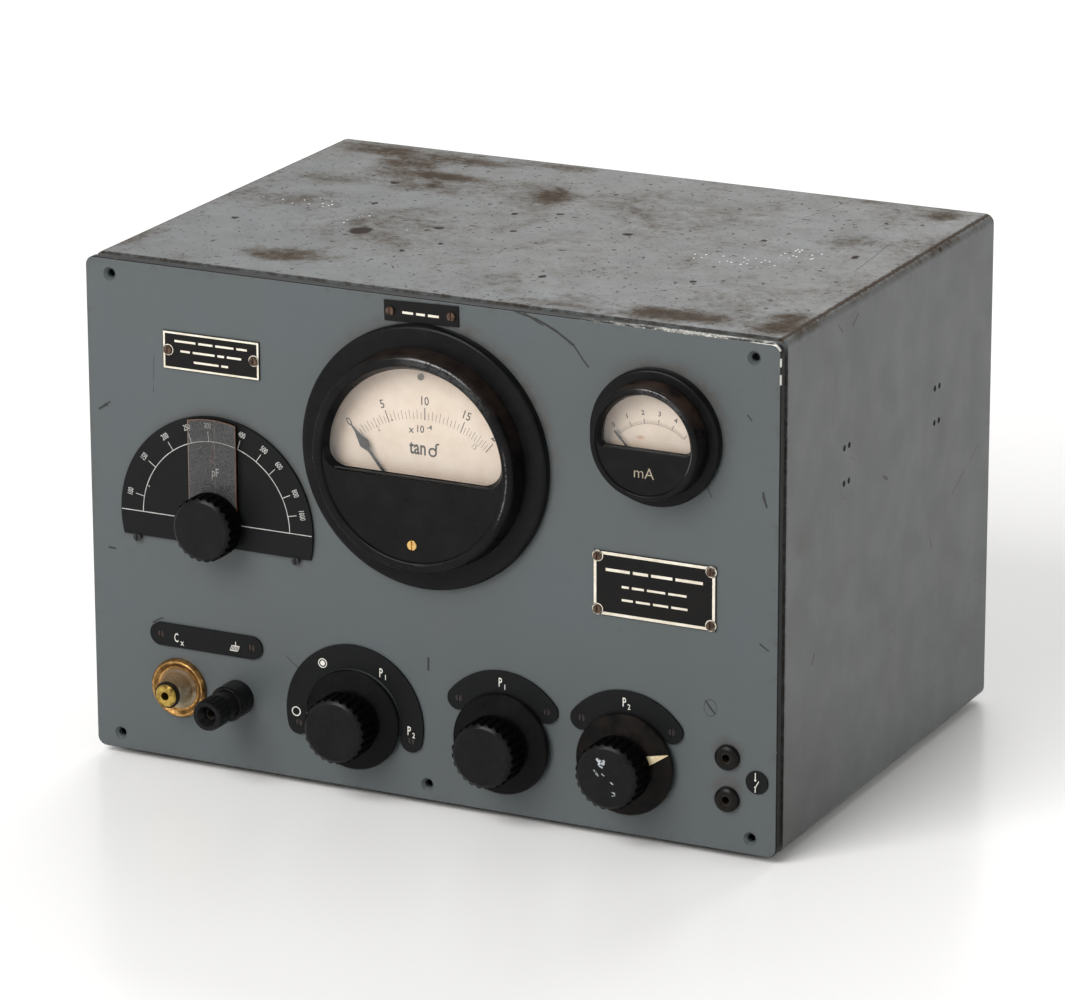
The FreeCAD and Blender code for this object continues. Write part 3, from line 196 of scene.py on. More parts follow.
class Finish:
    """A material built from nodes, with positions in millimetres of the part's own frame."""

    def __init__(self, name, base=None):
        self.material = bpy.data.materials.new(name)
        self.material.use_nodes = True
        self.tree = self.material.node_tree
        self.surface = self.tree.nodes["Principled BSDF"]
        self.base = rgb(*base) if base else None
        metres = self.node("ShaderNodeTexCoord", {}, "Object")
        self.place = self.scaled(metres, 1 / MM)
        self.x, self.y, self.z = self.split(self.place)
        FINISHES[name] = self.material

    def node(self, kind, inputs, output=0, **settings):
        """Add a node, plug its inputs by name or number, and return one of its outputs."""
        made = self.tree.nodes.new(kind)
        for key, value in settings.items():
            setattr(made, key, value)
        for key, value in inputs.items():
            self.plug(made.inputs[key], value)
        return Wire(self, made.outputs[output])

    def plug(self, socket, value):
        """Feed a socket from a wire or with a plain value."""
        if isinstance(value, Wire):
            self.tree.links.new(value.socket, socket)
        else:
            socket.default_value = value

    def math(self, operation, first, second):
        return self.node("ShaderNodeMath", {0: first, 1: second}, operation=operation)

    def vector(self, operation, first, second, output=0):
        return self.node("ShaderNodeVectorMath", {0: first, 1: second}, output, operation=operation)

    def scaled(self, vector, amount):
        return self.node("ShaderNodeVectorMath", {0: vector, "Scale": amount}, operation="SCALE")

    def split(self, vector):
        made = self.tree.nodes.new("ShaderNodeSeparateXYZ")
        self.plug(made.inputs[0], vector)
        return [Wire(self, output) for output in made.outputs]

    def stretched(self, stretch):
        """Position squeezed along some axes, which lengthens a pattern there."""
        return self.vector("MULTIPLY", self.place, stretch)

    def noise(self, grain, detail=4, rough=0.55, stretch=None, twist=0):
        """Cloudy pattern from 0 to 1 with features of about grain millimetres."""
        inputs = {"Vector": self.stretched(stretch) if stretch else self.place, "Scale": 1 / grain,
                  "Detail": detail, "Roughness": rough, "Distortion": twist}
        return self.node("ShaderNodeTexNoise", inputs, "Fac")

    def warped(self, grain, amount):
        """Position pushed about by a cloudy pattern, which makes an outline ragged."""
        inputs = {"Vector": self.place, "Scale": 1 / grain, "Detail": 3}
        push = self.node("ShaderNodeTexNoise", inputs, "Color")
        centred = self.vector("SUBTRACT", push, (0.5, 0.5, 0.5))
        return self.vector("ADD", self.place, self.scaled(centred, amount))

    def specks(self, spacing, radius, share, stretch=None, place=None):
        """Dots scattered on a grid of cells, of which a share hold one."""
        cells = self.tree.nodes.new("ShaderNodeTexVoronoi")
        self.plug(cells.inputs["Vector"], place or (self.stretched(stretch) if stretch else self.place))
        self.plug(cells.inputs["Scale"], 1 / spacing)
        near = Wire(self, cells.outputs["Distance"]).fade(radius / spacing, 0.6 * radius / spacing)
        chance = self.split(Wire(self, cells.outputs["Color"]))[0].fade(share, share - 0.02)
        return near * chance

    def far(self, point, place=None):
        """Distance from a point."""
        return self.vector("DISTANCE", place or self.place, point, "Value")

    def blob(self, place, centre, radii, soft=1):
        """Patch round a point: 1 inside, fading to 0 over its outer part."""
        away = self.vector("SUBTRACT", place, centre)
        round_one = self.vector("MULTIPLY", away, [1 / radius for radius in radii])
        return self.vector("LENGTH", round_one, (0, 0, 0), "Value").fade(1, 1 - soft)

    def beside(self, place, start, end, half):
        """Distance from a straight line between two points, in half widths."""
        start, end = Vector(start), Vector(end)
        run = end - start
        offset = self.vector("SUBTRACT", place, start)
        along = self.vector("DOT_PRODUCT", offset, run / run.length_squared, "Value")
        along = self.node("ShaderNodeClamp", {"Value": along}, "Result")
        return self.vector("DISTANCE", offset, self.scaled(tuple(run), along), "Value") * (1 / half)

    def scratches(self, place, strokes):
        """Mask of scratches, each given as start, end and half width."""
        return reduce(Wire.least, [self.beside(place, *stroke) for stroke in strokes]).fade(1.3, 0.6)

    def blend(self, under, over, amount):
        """Colour over laid on colour under by an amount from 0 to 1."""
        return self.node("ShaderNodeMix", {0: amount, 6: under, 7: over}, 2, data_type="RGBA")

    def coat(self, colour, amount):
        """Lay a colour, a wire or three levels, on the base by an amount from 0 to 1."""
        self.base = self.blend(self.base, colour if isinstance(colour, Wire) else rgb(*colour), amount)

    def done(self, rough, height=None, bump_mm=0.1, metallic=0, shine=0.5):
        """Plug the surface. Height runs from 0 to 1 over bump_mm."""
        values = {"Base Color": self.base, "Roughness": rough, "Metallic": metallic,
                  "Specular IOR Level": shine}
        if height is not None:
            inputs = {"Height": height, "Distance": bump_mm * MM, "Strength": 1}
            values["Normal"] = self.node("ShaderNodeBump", inputs, "Normal")
        for key, value in values.items():
            self.plug(self.surface.inputs[key], value)

    def show_behind(self, tint, shade, amount):
        """Lay a shader by an amount on a tinted view of what is behind."""
        see = self.node("ShaderNodeBsdfTransparent", {"Color": tint}, "BSDF")
        mix = self.node("ShaderNodeMixShader", {0: amount, 1: see, 2: shade}, "Shader")
        self.plug(self.tree.nodes["Material Output"].inputs["Surface"], mix)


# ---- the case's paint ----

TOP_STAINS = [        # middle x, y, half sizes and strength of the rusty patches on the case's top
    (-154, 126, 34, 18, 0.28), (-100, 124, 62, 17, 0.32), (-44, 133, 48, 10, 0.22),
    (-90, 92, 34, 12, 0.36), (-84, 66, 34, 22, 0.22), (-118, 108, 28, 14, 0.20), (-26, 80, 17, 22, 0.26),
    (-94, -72, 34, 24, 0.30), (-140, 64, 30, 14, 0.14), (140, 66, 42, 28, 0.26),
    (158, 124, 18, 14, 0.26), (118, -88, 46, 18, 0.38), (62, -95, 40, 12, 0.28),
    (164, -80, 20, 34, 0.36), (-60, 4, 34, 16, 0.10),
]
TOP_SPOTS = [         # middle x, y and half sizes of single rust spots
    (-81, -18, 6.2, 8), (-146, -22, 2.2, 2.6), (-99, 30, 2.2, 2.4), (-50, 2, 2.6, 2.8),
    (-53, -4, 1.6, 2.2), (35, 30, 2.8, 3), (-109, 70, 3.2, 2.8), (147, 38, 2, 3.4),
    (-30, 41, 1.7, 2), (-10, 50, 1.9, 2.2), (-47, -42, 1.7, 2), (32, -55, 2.2, 2.6),
    (-36, -23, 1.5, 1.8), (-16, 12, 1.8, 2), (98, -33, 1.8, 2.2), (97, 47, 2, 2.2),
]
TOP_FLECKS = [        # middle x, y and half sizes of the areas with white flecks
    (-132, 20, 26, 11), (-92, 0, 9, 13), (-61, -9, 6, 5), (96, 10, 34, 9), (123, 33, 14, 12),
]
TOP_SCRATCHES = [     # start x, y, end x, y and half width on the case's top
    (50, -89, 79, -67, 0.22), (79, -67, 112, -31, 0.30), (152, 71, 157, 14, 0.45),
    (105, 139, 96, 84, 0.35), (20, 70, 64, 96, 0.20), (-20, -60, 4, -72, 0.20),
]
SIDE_SCRATCHES = [    # start y, z, end y, z and half width on the case's right side
    (-52, 190, -48, 214, 0.22), (92, 118, 125, 134, 0.30), (8, 150, 13, 148, 0.9),
    (-72, 84, -69, 88, 0.7), (66, 104, 68, 99, 0.5), (-30, 232, -24, 236, 0.6),
    (-46, 236, -42, 232, 0.5),
]
SIDE_RINGS = [        # middle y, z and radius of faint rings on that side
    (137, 67, 6), (21, 67, 4.5), (-58, 107, 5.5), (128, 72, 7), (-33, 161, 9.5),
]


def roof_patches(f, place, patches, soft=1, depth=20):
    """A soft patch on the case's top for each middle and pair of half sizes."""
    return [f.blob(place, (x, y, ROOF), (half_x, half_y, depth), soft) for x, y, half_x, half_y in patches]


def roof_stains(f, top, grain, fine):
    """Grey and brown clouds of the case's top. Returns masks of the brown film and the stains."""
    broad = f.noise(58, 6, 0.62, twist=0.7)
    patches = roof_patches(f, f.place, [stain[:4] for stain in TOP_STAINS], depth=30)
    weight = reduce(Wire.__add__, [patch * stain[4] for patch, stain in zip(patches, TOP_STAINS)], broad)
    stain = (weight * 0.85 + grain * 0.6).fade(0.70, 1.00) * top
    core = (weight * 0.7 + grain * 0.95).fade(0.96, 1.14) * top
    f.coat((94, 98, 100), top * f.noise(26, 5, 0.6).fade(0.35, 0.65) * 0.5)
    spread = f.x.fade(-150, 10).most(f.y.fade(10, 110)) * f.y.fade(-100, -30)
    f.coat((67, 62, 51), top * spread * (broad * 0.5 + grain * 0.5).fade(0.28, 0.60) * 0.4)
    f.coat((74, 75, 74), (fine - 0.5).size() * 0.6 + grain.fade(0.55, 0.75) * 0.25)
    film = f.noise(10, 7, 0.70, stretch=(0.75, 1, 1)).fade(0.46, 0.66) * top * (spread * 0.8 + 0.2)
    f.coat((73, 65, 51), film * 0.44)
    f.coat((66, 52, 34), stain * 0.92)
    f.coat((40, 30, 22), core * 0.6)
    return film, stain


def roof_rust(f, top, ragged):
    """Rust specks and spots, and white flecks, on the case's top. Returns the mask of the rust."""
    kinds = [f.noise(3.6, 3, 0.5).fade(0.655, 0.68) * 0.8, f.noise(1.7, 2, 0.5).fade(0.66, 0.69) * 0.55,
             f.specks(9, 0.8, 0.35, place=ragged), f.specks(19, 1.5, 0.3, place=ragged)]
    rust = reduce(Wire.most, kinds + roof_patches(f, ragged, TOP_SPOTS, 0.3)) * top
    f.coat((38, 27, 21), rust * 0.92)
    area = reduce(Wire.most, roof_patches(f, f.place, TOP_FLECKS, 0.5))
    f.coat((245, 245, 242), f.specks(2.6, 0.62, 0.42, place=f.warped(1.2, 0.8)) * area.fade(0.15, 0.5) * top)
    return rust


def case_scratches(f):
    """Scratches of the case's top and right side, and faint rings there. Returns the scratches' mask."""
    side = CASE_HIGH.x
    strokes = [((ax, ay, ROOF), (bx, by, ROOF), half) for ax, ay, bx, by, half in TOP_SCRATCHES]
    strokes += [((side, ay, az), (side, by, bz), half) for ay, az, by, bz, half in SIDE_SCRATCHES]
    scratched = f.scratches(f.warped(9, 1.6), strokes)
    f.coat((34, 29, 25), scratched * 0.9)
    bent = f.warped(10, 3)
    rings = [(f.far((side, y, z), bent) - radius).size().fade(0.6, 0.15) for y, z, radius in SIDE_RINGS]
    f.coat((52, 48, 43), reduce(Wire.most, rings) * f.noise(6).fade(0.4, 0.6) * 0.45)
    return scratched


def wall_wear(f, walls, ragged):
    """Streaks, specks and hair scratches of the case's walls, and painted shade that darkens them towards the
    bottom at the front.
    """
    streak = f.noise(9, 5, 0.65, stretch=(1, 1, 0.18)).fade(0.5, 0.85)
    f.coat((76, 79, 75), streak.most(f.noise(34, 5, 0.6).fade(0.5, 0.72)) * walls * 0.5)
    specked = f.specks(17, 0.7, 0.3, place=ragged).most(f.specks(9, 0.35, 0.25))
    upright = f.specks(19, 0.22, 0.2, stretch=(1, 1, 0.08))
    hairs = f.specks(15, 0.2, 0.22, stretch=(0.07, 0.07, 1)).most(upright)
    f.coat((46, 40, 34), specked.most(hairs * 0.7) * walls * 0.65)
    # painted shade: the walls made darker grey towards the bottom, most at the front
    f.coat((56, 57, 55), (f.z - CASE_LOW.z).fade(95, 0) * f.y.fade(0, -110) * 0.85)


def edge_wear(f, top, grain):
    """Wear of the case's edges and long folds. Returns the mask of the worn folds."""
    inward = CASE_HIGH.x - f.x.size()
    worn = (CASE_HIGH.y - f.y).most(inward).fade(2.4, 0.5).most((f.z - CASE_LOW.z).fade(3, 0.5))
    f.coat((50, 44, 37), worn * grain.fade(0.48, 0.62) * 0.7)
    fold = inward - (ROOF - f.z)
    folded = inward.least(ROOF - f.z).fade(7, 5.5)
    line = (fold + grain * 5 - 5).size().fade(1.9, 0.7) * folded
    fringe = fold.fade(16, 3) * fold.fade(-3, 1) * grain.fade(0.46, 0.62)
    under = fold.fade(-16, -4) * fold.fade(0, -3) * grain.fade(0.5, 0.66)
    f.coat((58, 46, 35), line.most(fringe * folded * 0.75).most(under * folded * 0.35) * 0.9)
    behind = f.y.fade(CASE_HIGH.y - 5, CASE_HIGH.y - 1) * grain.fade(0.4, 0.6) * top
    f.coat((60, 48, 36), behind * 0.7)
    lip = f.y.fade(CASE_LOW.y + 2, CASE_LOW.y + 0.6)
    f.coat((52, 48, 42), lip * grain.fade(0.42, 0.56) * 0.8)
    return line


def case_paint():
    """Grey paint of the case: rusty and specked on top, scratched and ringed on the sides."""
    f = Finish("case_paint", (85, 88, 88))
    top = f.z.fade(ROOF - 4.6, ROOF - 1.2)
    grain = f.noise(4.6, 8, 0.78, stretch=(0.85, 1, 1))
    fine = f.noise(1.5, 3, 0.6)
    ragged = f.warped(3.4, 4)
    film, stain = roof_stains(f, top, grain, fine)
    rust = roof_rust(f, top, ragged)
    scratched = case_scratches(f)
    wall_wear(f, 1 - top, ragged)
    line = edge_wear(f, top, grain)
    dull = stain.most(rust).most(line)
    rough = f.noise(18, 4).fade(0.2, 0.8) * 0.12 + 0.40 + dull * 0.16
    height = fine * 0.4 + f.noise(60, 2) * 3 - rust - scratched
    shine = (0.5 - top * 0.16 - film * 0.08) * (1 - dull * 0.85)
    f.done(rough, height, 0.05, shine=shine)


# ---- the panel's paint ----

PANEL_NICKS = [       # start x, z, end x, z and half width on the panel's face
    (45, 240, 56, 237.6, 0.55), (56, 237.6, 66, 233.4, 0.65), (66, 233.4, 75, 227.6, 0.6),
    (75, 227.6, 82.6, 218.4, 0.42), (50, 240, 60, 234.6, 0.3), (167.2, 100.8, 171.1, 98.1, 0.38),
    (140.8, 69.8, 145.4, 64.6, 0.5), (1, 69.4, 1, 63.8, 0.55), (167.9, 171.3, 169.9, 165.1, 0.5),
    (168.3, 169.6, 169, 167.6, 0.7), (160.4, 206.2, 162.2, 203.9, 0.35),
    (-170.4, 166.9, -166, 169.3, 0.55), (-168, 168.8, -164.6, 170.6, 0.4),
    (-167, 99.4, -164, 99.2, 0.5), (-144.4, 65.6, -138.9, 68.4, 0.4),
    (-73, 59.5, -67, 54, 0.22), (-39, 55, -37, 54.6, 0.7), (-27, 31, -25, 30.8, 0.7),
    (96, 61.5, 99.5, 60.2, 0.35), (-140.6, 196, -141.2, 178, 0.16),
    (139, 176, 143, 166, 0.3),
]
PANEL_RING = (143.2, 67, 3.9)     # middle x, z and radius of a ring scratched on the panel
EDGE_DASHES = [       # upper and lower z of the bare dashes down the panel's right edge
    (239.6, 237.2), (233.6, 230), (226.2, 221.8),
]
HALOS = [             # middle, radius, spread and strength of the grime round the panel's round pieces
    (MAIN, 62.4, 9, 1), (SMALL, 31.8, 8, 1), (TUNING, DIAL_R, 5, 0.6),
]


def edge_distance(f, z):
    """Distance inward from the panel's rounded outline."""
    over_x = f.x.size() - (PANEL_HALF - CORNER_R)
    over_z = (z - PANEL_H / 2).size() - (PANEL_H / 2 - CORNER_R)
    corner = (over_x.most(0) ** 2 + over_z.most(0) ** 2) ** 0.5
    return CORNER_R - (corner + over_x.most(over_z).least(0))


def panel_grime(f, z, grain):
    """Brown grime above the round pieces of the panel and round its sockets."""
    rings = []
    for (cx, cz), radius, spread, strength in HALOS:
        lean = ((f.x - cx) * 0.5 + (z - cz)).fade(-0.2 * radius, radius * 1.1)
        rings.append(f.far(ahead(cx, cz)).fade(radius + spread, radius) * lean * strength)
    rings += [f.far(ahead(x, socket_z + 3)).fade(10, 5) * 0.8 for x, socket_z in SOCKETS]
    f.coat((60, 50, 40), reduce(Wire.most, rings) * grain.fade(0.25, 0.7) * 0.7)


def panel_nicks(f):
    """Dark nicks and a scratched ring on the panel. Returns their mask."""
    strokes = [(ahead(ax, az), ahead(bx, bz), half) for ax, az, bx, bz, half in PANEL_NICKS]
    nicks = f.scratches(f.warped(6, 1.2), strokes)
    x, z, radius = PANEL_RING
    narrow = 1.25     # the ring's height over its width
    far = f.far(ahead(x * narrow, z), f.stretched((narrow, 1, 1)))
    nicks = nicks.most((far - radius).size().fade(0.3, 0.1) * 0.8)
    f.coat((18, 16, 15), nicks)
    return nicks


def bare_edge(f, z, edge, fine):
    """Bare metal along the panel's top and down its right edge. Returns its mask."""
    below_top = PANEL_H - z
    chips = f.noise(3.2, 5, 0.75, stretch=(0.4, 1, 0.4))
    thick = (f.x - 132).size().fade(22, 12)
    along_top = f.x.fade(60, 110) * below_top.fade(0.5, 0.3) * (chips + thick * 0.12).fade(0.50, 0.56)
    along_top = along_top.most(thick * below_top.fade(0.9, 0.6) * chips.fade(0.55, 0.60))
    dashes = [(z - (low + high) / 2).size().fade((high - low) / 2 + 0.3, (high - low) / 2)
              for high, low in EDGE_DASHES]
    dashes = reduce(Wire.most, dashes) * edge.fade(0.6, 0.4)
    dashes = dashes * f.x.fade(160, 165) * (f.y - FACE_Y).fade(1.3, 0.9)
    bare = along_top.most(dashes).most(edge.fade(0.7, 0.35) * chips.fade(0.68, 0.72))
    bright = dashes.most(fine.fade(0.45, 0.68))
    f.coat(f.blend(rgb(104, 102, 96), rgb(204, 202, 194), bright), bare)
    return bare


def panel_paint():
    """Satin blue-grey paint of the panel, nicked here and there and chipped along its edge."""
    f = Finish("panel_paint", (71, 77, 79))
    z = f.z - PANEL_Z
    edge = edge_distance(f, z)
    fine = f.noise(1.1, 3, 0.6)
    grain = f.noise(6, 6, 0.7)
    f.coat((70, 75, 76), f.noise(70, 4, 0.55).fade(0.35, 0.7))
    f.coat((65, 69, 71), (fine - 0.5).size() * 0.5)
    f.coat((78, 80, 78), f.noise(12, 5, 0.6, stretch=(1, 1, 0.3)).fade(0.55, 0.85) * 0.3)
    f.coat((60, 62, 61), f.noise(16, 5, 0.65, twist=0.6).fade(0.62, 0.74) * 0.3)
    panel_grime(f, z, grain)
    nicks = panel_nicks(f)
    dots = f.specks(24, 0.8, 0.25, place=f.warped(3, 2)).most(f.specks(13, 0.4, 0.22))
    f.coat((44, 37, 31), dots * 0.6)
    f.coat((60, 58, 54), edge.fade(6, 0.5) * grain.fade(0.48, 0.7) * 0.55)
    # painted shade: the outermost half millimetre of the panel and its edge faces darkened near black, with less
    # gloss, for the shaded gap round the case
    rim = edge.fade(0.5, 0.15)
    f.coat((16, 15, 14), rim)
    bare = bare_edge(f, z, edge, fine)
    rough = f.noise(14, 4).fade(0.2, 0.8) * 0.08 + 0.36 - bare * 0.1
    height = fine * 0.4 + f.noise(50, 2) * 2 - bare * 2 - nicks
    f.done(rough, height, 0.04, metallic=bare * 0.3, shine=0.5 - rim * 0.44)


# ---- other finishes ----

CAP_SCRAPES = [       # start, end and half width of the white scrapes on a knob's face, from its middle
    (-3.9, 8.2, -1.2, 6.6, 0.75), (-3.2, 6.4, -1, 7.8, 0.7), (-2.8, 5.2, -1.6, 4.8, 0.45),
    (-5.6, 2.8, -4.4, 0.8, 0.28), (-4.4, 2.4, -3.6, 0.4, 0.2), (-1.8, 1.7, -0.6, 0.9, 0.24),
    (2.6, -1.6, 3.7, -2.3, 0.32), (3.4, -6.4, 4.6, -6.6, 0.22), (3.4, -8, 4.5, -7.8, 0.22),
    (4.6, -6.7, 4.6, -7.8, 0.18),
]


def worn_black(name, colour, brown, rough, wear=0.25, grain=2.2):
    """Moulded black phenolic: smudged gloss, brown where it is worn, and fine scratches."""
    f = Finish(name, colour)
    cloudy = f.noise(grain * 6, 5, 0.65)
    fine = f.noise(grain * 0.35, 3, 0.7)
    worn = (cloudy * 0.7 + fine * 0.4).fade(0.50, 0.78)
    f.coat(brown, worn * wear)
    f.coat((128, 122, 112), f.specks(grain * 2.2, 0.16, 0.3) * 0.5)
    smudge = f.noise(grain * 4, 4, 0.6).fade(0.25, 0.8) * 0.16 + rough
    hair = f.noise(0.5, 2, 0.5, stretch=(0.12, 1, 1))
    f.done(smudge + worn * 0.08, fine * 0.4 + hair * 0.2, 0.03, shine=0.14)


def metal(name, colour, tarnish, rough, amount=0.5, grain=3, stretch=None, metallic=1):
    """Bare or plated metal, tarnished in patches."""
    f = Finish(name, colour)
    lines = f.noise(grain * 0.12, 3, 0.6, stretch=stretch)
    patches = (f.noise(grain, 6, 0.65, twist=0.4) + (lines - 0.5) * 0.3).fade(0.42, 0.72)
    f.coat(tarnish, patches * amount)
    f.done(patches * 0.2 + rough, lines, 0.02, metallic=metallic - patches * 0.25 * amount)


def flat_coat(name, colour, second, rough, grain=1.5, bump_mm=0.04, **shading):
    """Painted, rubber, paper or phenolic surface with a slight mottle."""
    f = Finish(name, colour)
    cloudy = f.noise(grain * 8, 5, 0.6)
    fine = f.noise(grain * 0.5, 4, 0.65)
    f.coat(second, (cloudy * 0.7 + fine * 0.5).fade(0.4, 0.8))
    f.done(cloudy * 0.12 + rough, fine, bump_mm, **shading)


def meter_paper():
    """Cream scale plates, with painted shade that makes them darker and browner towards their edges, and a few
    stains.
    """
    f = Finish("meter_dial", (216, 200, 187))
    z = f.z - PANEL_Z
    cloudy = f.noise(11, 5, 0.6)
    fine = f.noise(0.7, 3, 0.7)
    f.coat((207, 189, 173), cloudy.fade(0.35, 0.75))
    f.coat((182, 158, 134), (fine - 0.66).fade(0, 0.2) * 0.25)
    # painted shade: the paper darker and browner towards each window's round edge and along its straight lower
    # edge, where the cover shades it
    for centre, (outer, drop) in ((MAIN, MAIN_WINDOW), (SMALL, SMALL_WINDOW)):
        far = f.far(ahead(*centre, SCALE_FACE))
        near = far.fade(outer * 2.2, outer * 2)
        rim = far.fade(outer * 0.72, outer * 1.1)
        low = (z - (centre[1] - drop)).fade(outer * 0.07, -outer * 0.03)
        f.coat((170, 138, 110), rim.most(low * 0.6) * near * (cloudy * 0.45 + 0.18))
    stain = f.blob(f.warped(2.5, 2), ahead(SMALL[0] - 6.2, SMALL[1] - 0.1, SCALE_FACE), (2.9, 4, 1.5), 0.8)
    f.coat((186, 122, 70), stain * 0.6)
    foxing = f.specks(5, 0.35, 0.3).most(f.specks(11, 0.9, 0.16) * 0.5) * cloudy.fade(0.4, 0.6)
    f.coat((156, 114, 78), foxing * 0.5)
    f.done(0.62, fine, 0.01)


def meter_glass():
    """Clear panes that show the scales under a mirror gloss."""
    f = Finish("meter_glass")
    gloss = {"Color": (1, 1, 1, 1), "Roughness": f.noise(9, 4, 0.6).fade(0.4, 0.8) * 0.05 + 0.02}
    grazing = f.node("ShaderNodeLayerWeight", {"Blend": 0.5}, "Facing") ** 5
    shine = f.node("ShaderNodeBsdfGlossy", gloss, "BSDF")
    f.show_behind((0.97, 0.97, 0.96, 1), shine, grazing * 0.96 + 0.04)
    f.tree.nodes.remove(f.surface)


def ceramic():
    """Cream glaze, brown with grime on its upper side and chalky below."""
    f = Finish("ceramic", (168, 163, 146))
    dz = f.z - PANEL_Z - TERMINAL[1]
    cloudy = f.noise(5, 6, 0.65, twist=0.5)
    streak = f.noise(2.2, 5, 0.6, stretch=(1, 1, 0.35))
    f.coat((132, 120, 92), cloudy.fade(0.38, 0.64))
    f.coat((92, 68, 42), (dz * 0.07 + streak * 0.9 + cloudy * 0.35).fade(0.54, 0.98) * 0.85)
    f.coat((52, 36, 22), streak.fade(0.62, 0.78) * 0.6)
    f.done(cloudy * 0.14 + 0.22, cloudy, 0.02, shine=0.45)


def laminations():
    """Stacked iron sheets of the transformer core."""
    f = Finish("laminations", (70, 72, 76))
    layers = f.node("ShaderNodeTexWave", {"Vector": f.place, "Scale": 0.35, "Distortion": 0.3}, "Fac",
                    bands_direction="Y")
    f.coat((44, 42, 42), layers)
    f.coat((92, 70, 50), f.noise(12, 5, 0.6).fade(0.55, 0.8) * 0.6)
    f.done(0.45, layers, 0.15, metallic=0.6)


def cursor_plastic():
    """Clear cursor greyed by fine scuffs: a hairline, a red smear, and brown right and top edges."""
    f = Finish("cursor_plastic", (88, 89, 89))
    dx = f.x - TUNING[0]
    dz = f.z - PANEL_Z - TUNING[1]
    ragged = f.noise(1.6, 3, 0.6) * 1.2 - 0.6
    far = f.far(ahead(*TUNING, CURSOR_FACE))
    amber = (dx + ragged * 0.5).fade(11.95, 12.45).most((far + ragged * 0.4).fade(49.5, 50))
    left = dx.fade(-12.2, -12.5)
    red = dx.size().fade(0.9, 0.2) * (dz - 34).size().fade(6, 2) * f.noise(1.2, 3, 0.6).fade(0.5, 0.62)
    hairline = (dx - 1.6).size().fade(0.22, 0.10) * dz.fade(10, 14) * 0.6
    chips = f.specks(2.6, 0.62, 0.4) * dx.fade(11.4, 11.9) * dz.fade(18, 24)
    f.coat((84, 56, 38), amber)
    f.coat((150, 120, 104), left.most(hairline * 0.5))
    f.coat((150, 62, 58), red)
    f.coat((190, 160, 116), chips)
    f.done(0.3, shine=0.6)
    front = (FACE_Y - f.y).fade(CURSOR_FACE - 0.8, CURSOR_FACE - 0.3)
    cloudy = f.noise(8, 5, 0.6)
    cover = cloudy * 0.08 + 0.36 + amber * 0.5 + left * 0.3 + hairline * 0.3 + red * 0.2 + chips * 0.4
    grid = f.vector("SNAP", f.place, (SCUFF, SCUFF, SCUFF))
    scuffed = f.math("LESS_THAN", f.node("ShaderNodeTexWhiteNoise", {0: grid}, "Value"), cover * front)
    tint = f.blend(rgb(250, 249, 247), rgb(120, 70, 40), amber * 0.8)
    f.show_behind(tint, Wire(f, f.surface.outputs["BSDF"]), scuffed)


def meter_cover(name, centre, drum_r, top, brown):
    """Black moulding of a meter, with painted light that turns the top of its drum wall brown where the light
    falls on it, shining on the top of its rim.
    """
    f = Finish(name, (12, 12, 13))
    out = FACE_Y - f.y
    dx = f.x - centre[0]
    dz = f.z - PANEL_Z - centre[1]
    far = (dx ** 2 + dz ** 2) ** 0.5
    cloudy = f.noise(12, 5, 0.65)
    fine = f.noise(0.9, 3, 0.7)
    f.coat((26, 24, 24), cloudy.fade(0.4, 0.75) * 0.6)
    # painted light: brown laid on the upper part of the drum's wall, where the light falls on it
    wall = out.fade(4.6, 6.5) * out.fade(top + 0.4, top - 2) * (far - drum_r).size().fade(3.4, 1.6)
    upper = (dz + dx * 0.35).fade(0.35 * drum_r, 0.98 * drum_r)
    f.coat((54, 42, 35), wall * upper * cloudy.fade(0.3, 0.62) * brown)
    rim = out.fade(top - 2.2, top - 0.6) * (far - drum_r + 1.6).size().fade(3.6, 2.2)
    lit = ((dx * 0.42 + dz * 0.91) / far).fade(0.80, 0.97) * rim
    line = (far - (drum_r - 3.1)).size().fade(0.5, 0.2) * out.fade(top - 1.5, top - 0.3)
    low_right = ((dx * 0.99 - dz * 0.12) / far).fade(0.90, 0.98)
    scuffed = line * low_right * (fine * 0.6 + cloudy * 0.4).fade(0.45, 0.55)
    f.coat((104, 104, 102), scuffed * 0.8)
    f.coat((110, 106, 98), f.specks(6, 0.17, 0.35) * cloudy.fade(0.35, 0.6) * 0.5)
    f.coat((3, 3, 3), f.specks(19, 0.5, 0.12, stretch=(1, 1, 0.35)) * 0.9)
    rough = cloudy.fade(0.3, 0.75) * 0.14 + 0.26 - lit * 0.12
    shine = lit * (cloudy * 0.5 + fine * 0.5).fade(0.40, 0.60) * 0.55 + 0.10
    f.done(rough, fine * 0.3 - scuffed, 0.03, shine=shine)


def terminal_brass(name, colour, tarnish, dark):
    """Brass of the capacitor terminal, browner towards its top and edges."""
    f = Finish(name, colour)
    dz = f.z - PANEL_Z - TERMINAL[1]
    cloudy = f.noise(3.4, 6, 0.65, twist=0.4)
    fine = f.noise(0.5, 4, 0.65)
    f.coat(tarnish, cloudy.fade(0.36, 0.66))
    f.coat(dark, (cloudy * 0.7 + fine * 0.5).fade(0.62, 0.8))
    f.coat(dark, dz.fade(4, 15) * cloudy.fade(0.25, 0.6) * 0.5)
    f.done(cloudy * 0.2 + 0.26, fine, 0.03, metallic=1 - cloudy.fade(0.5, 0.75) * 0.35)


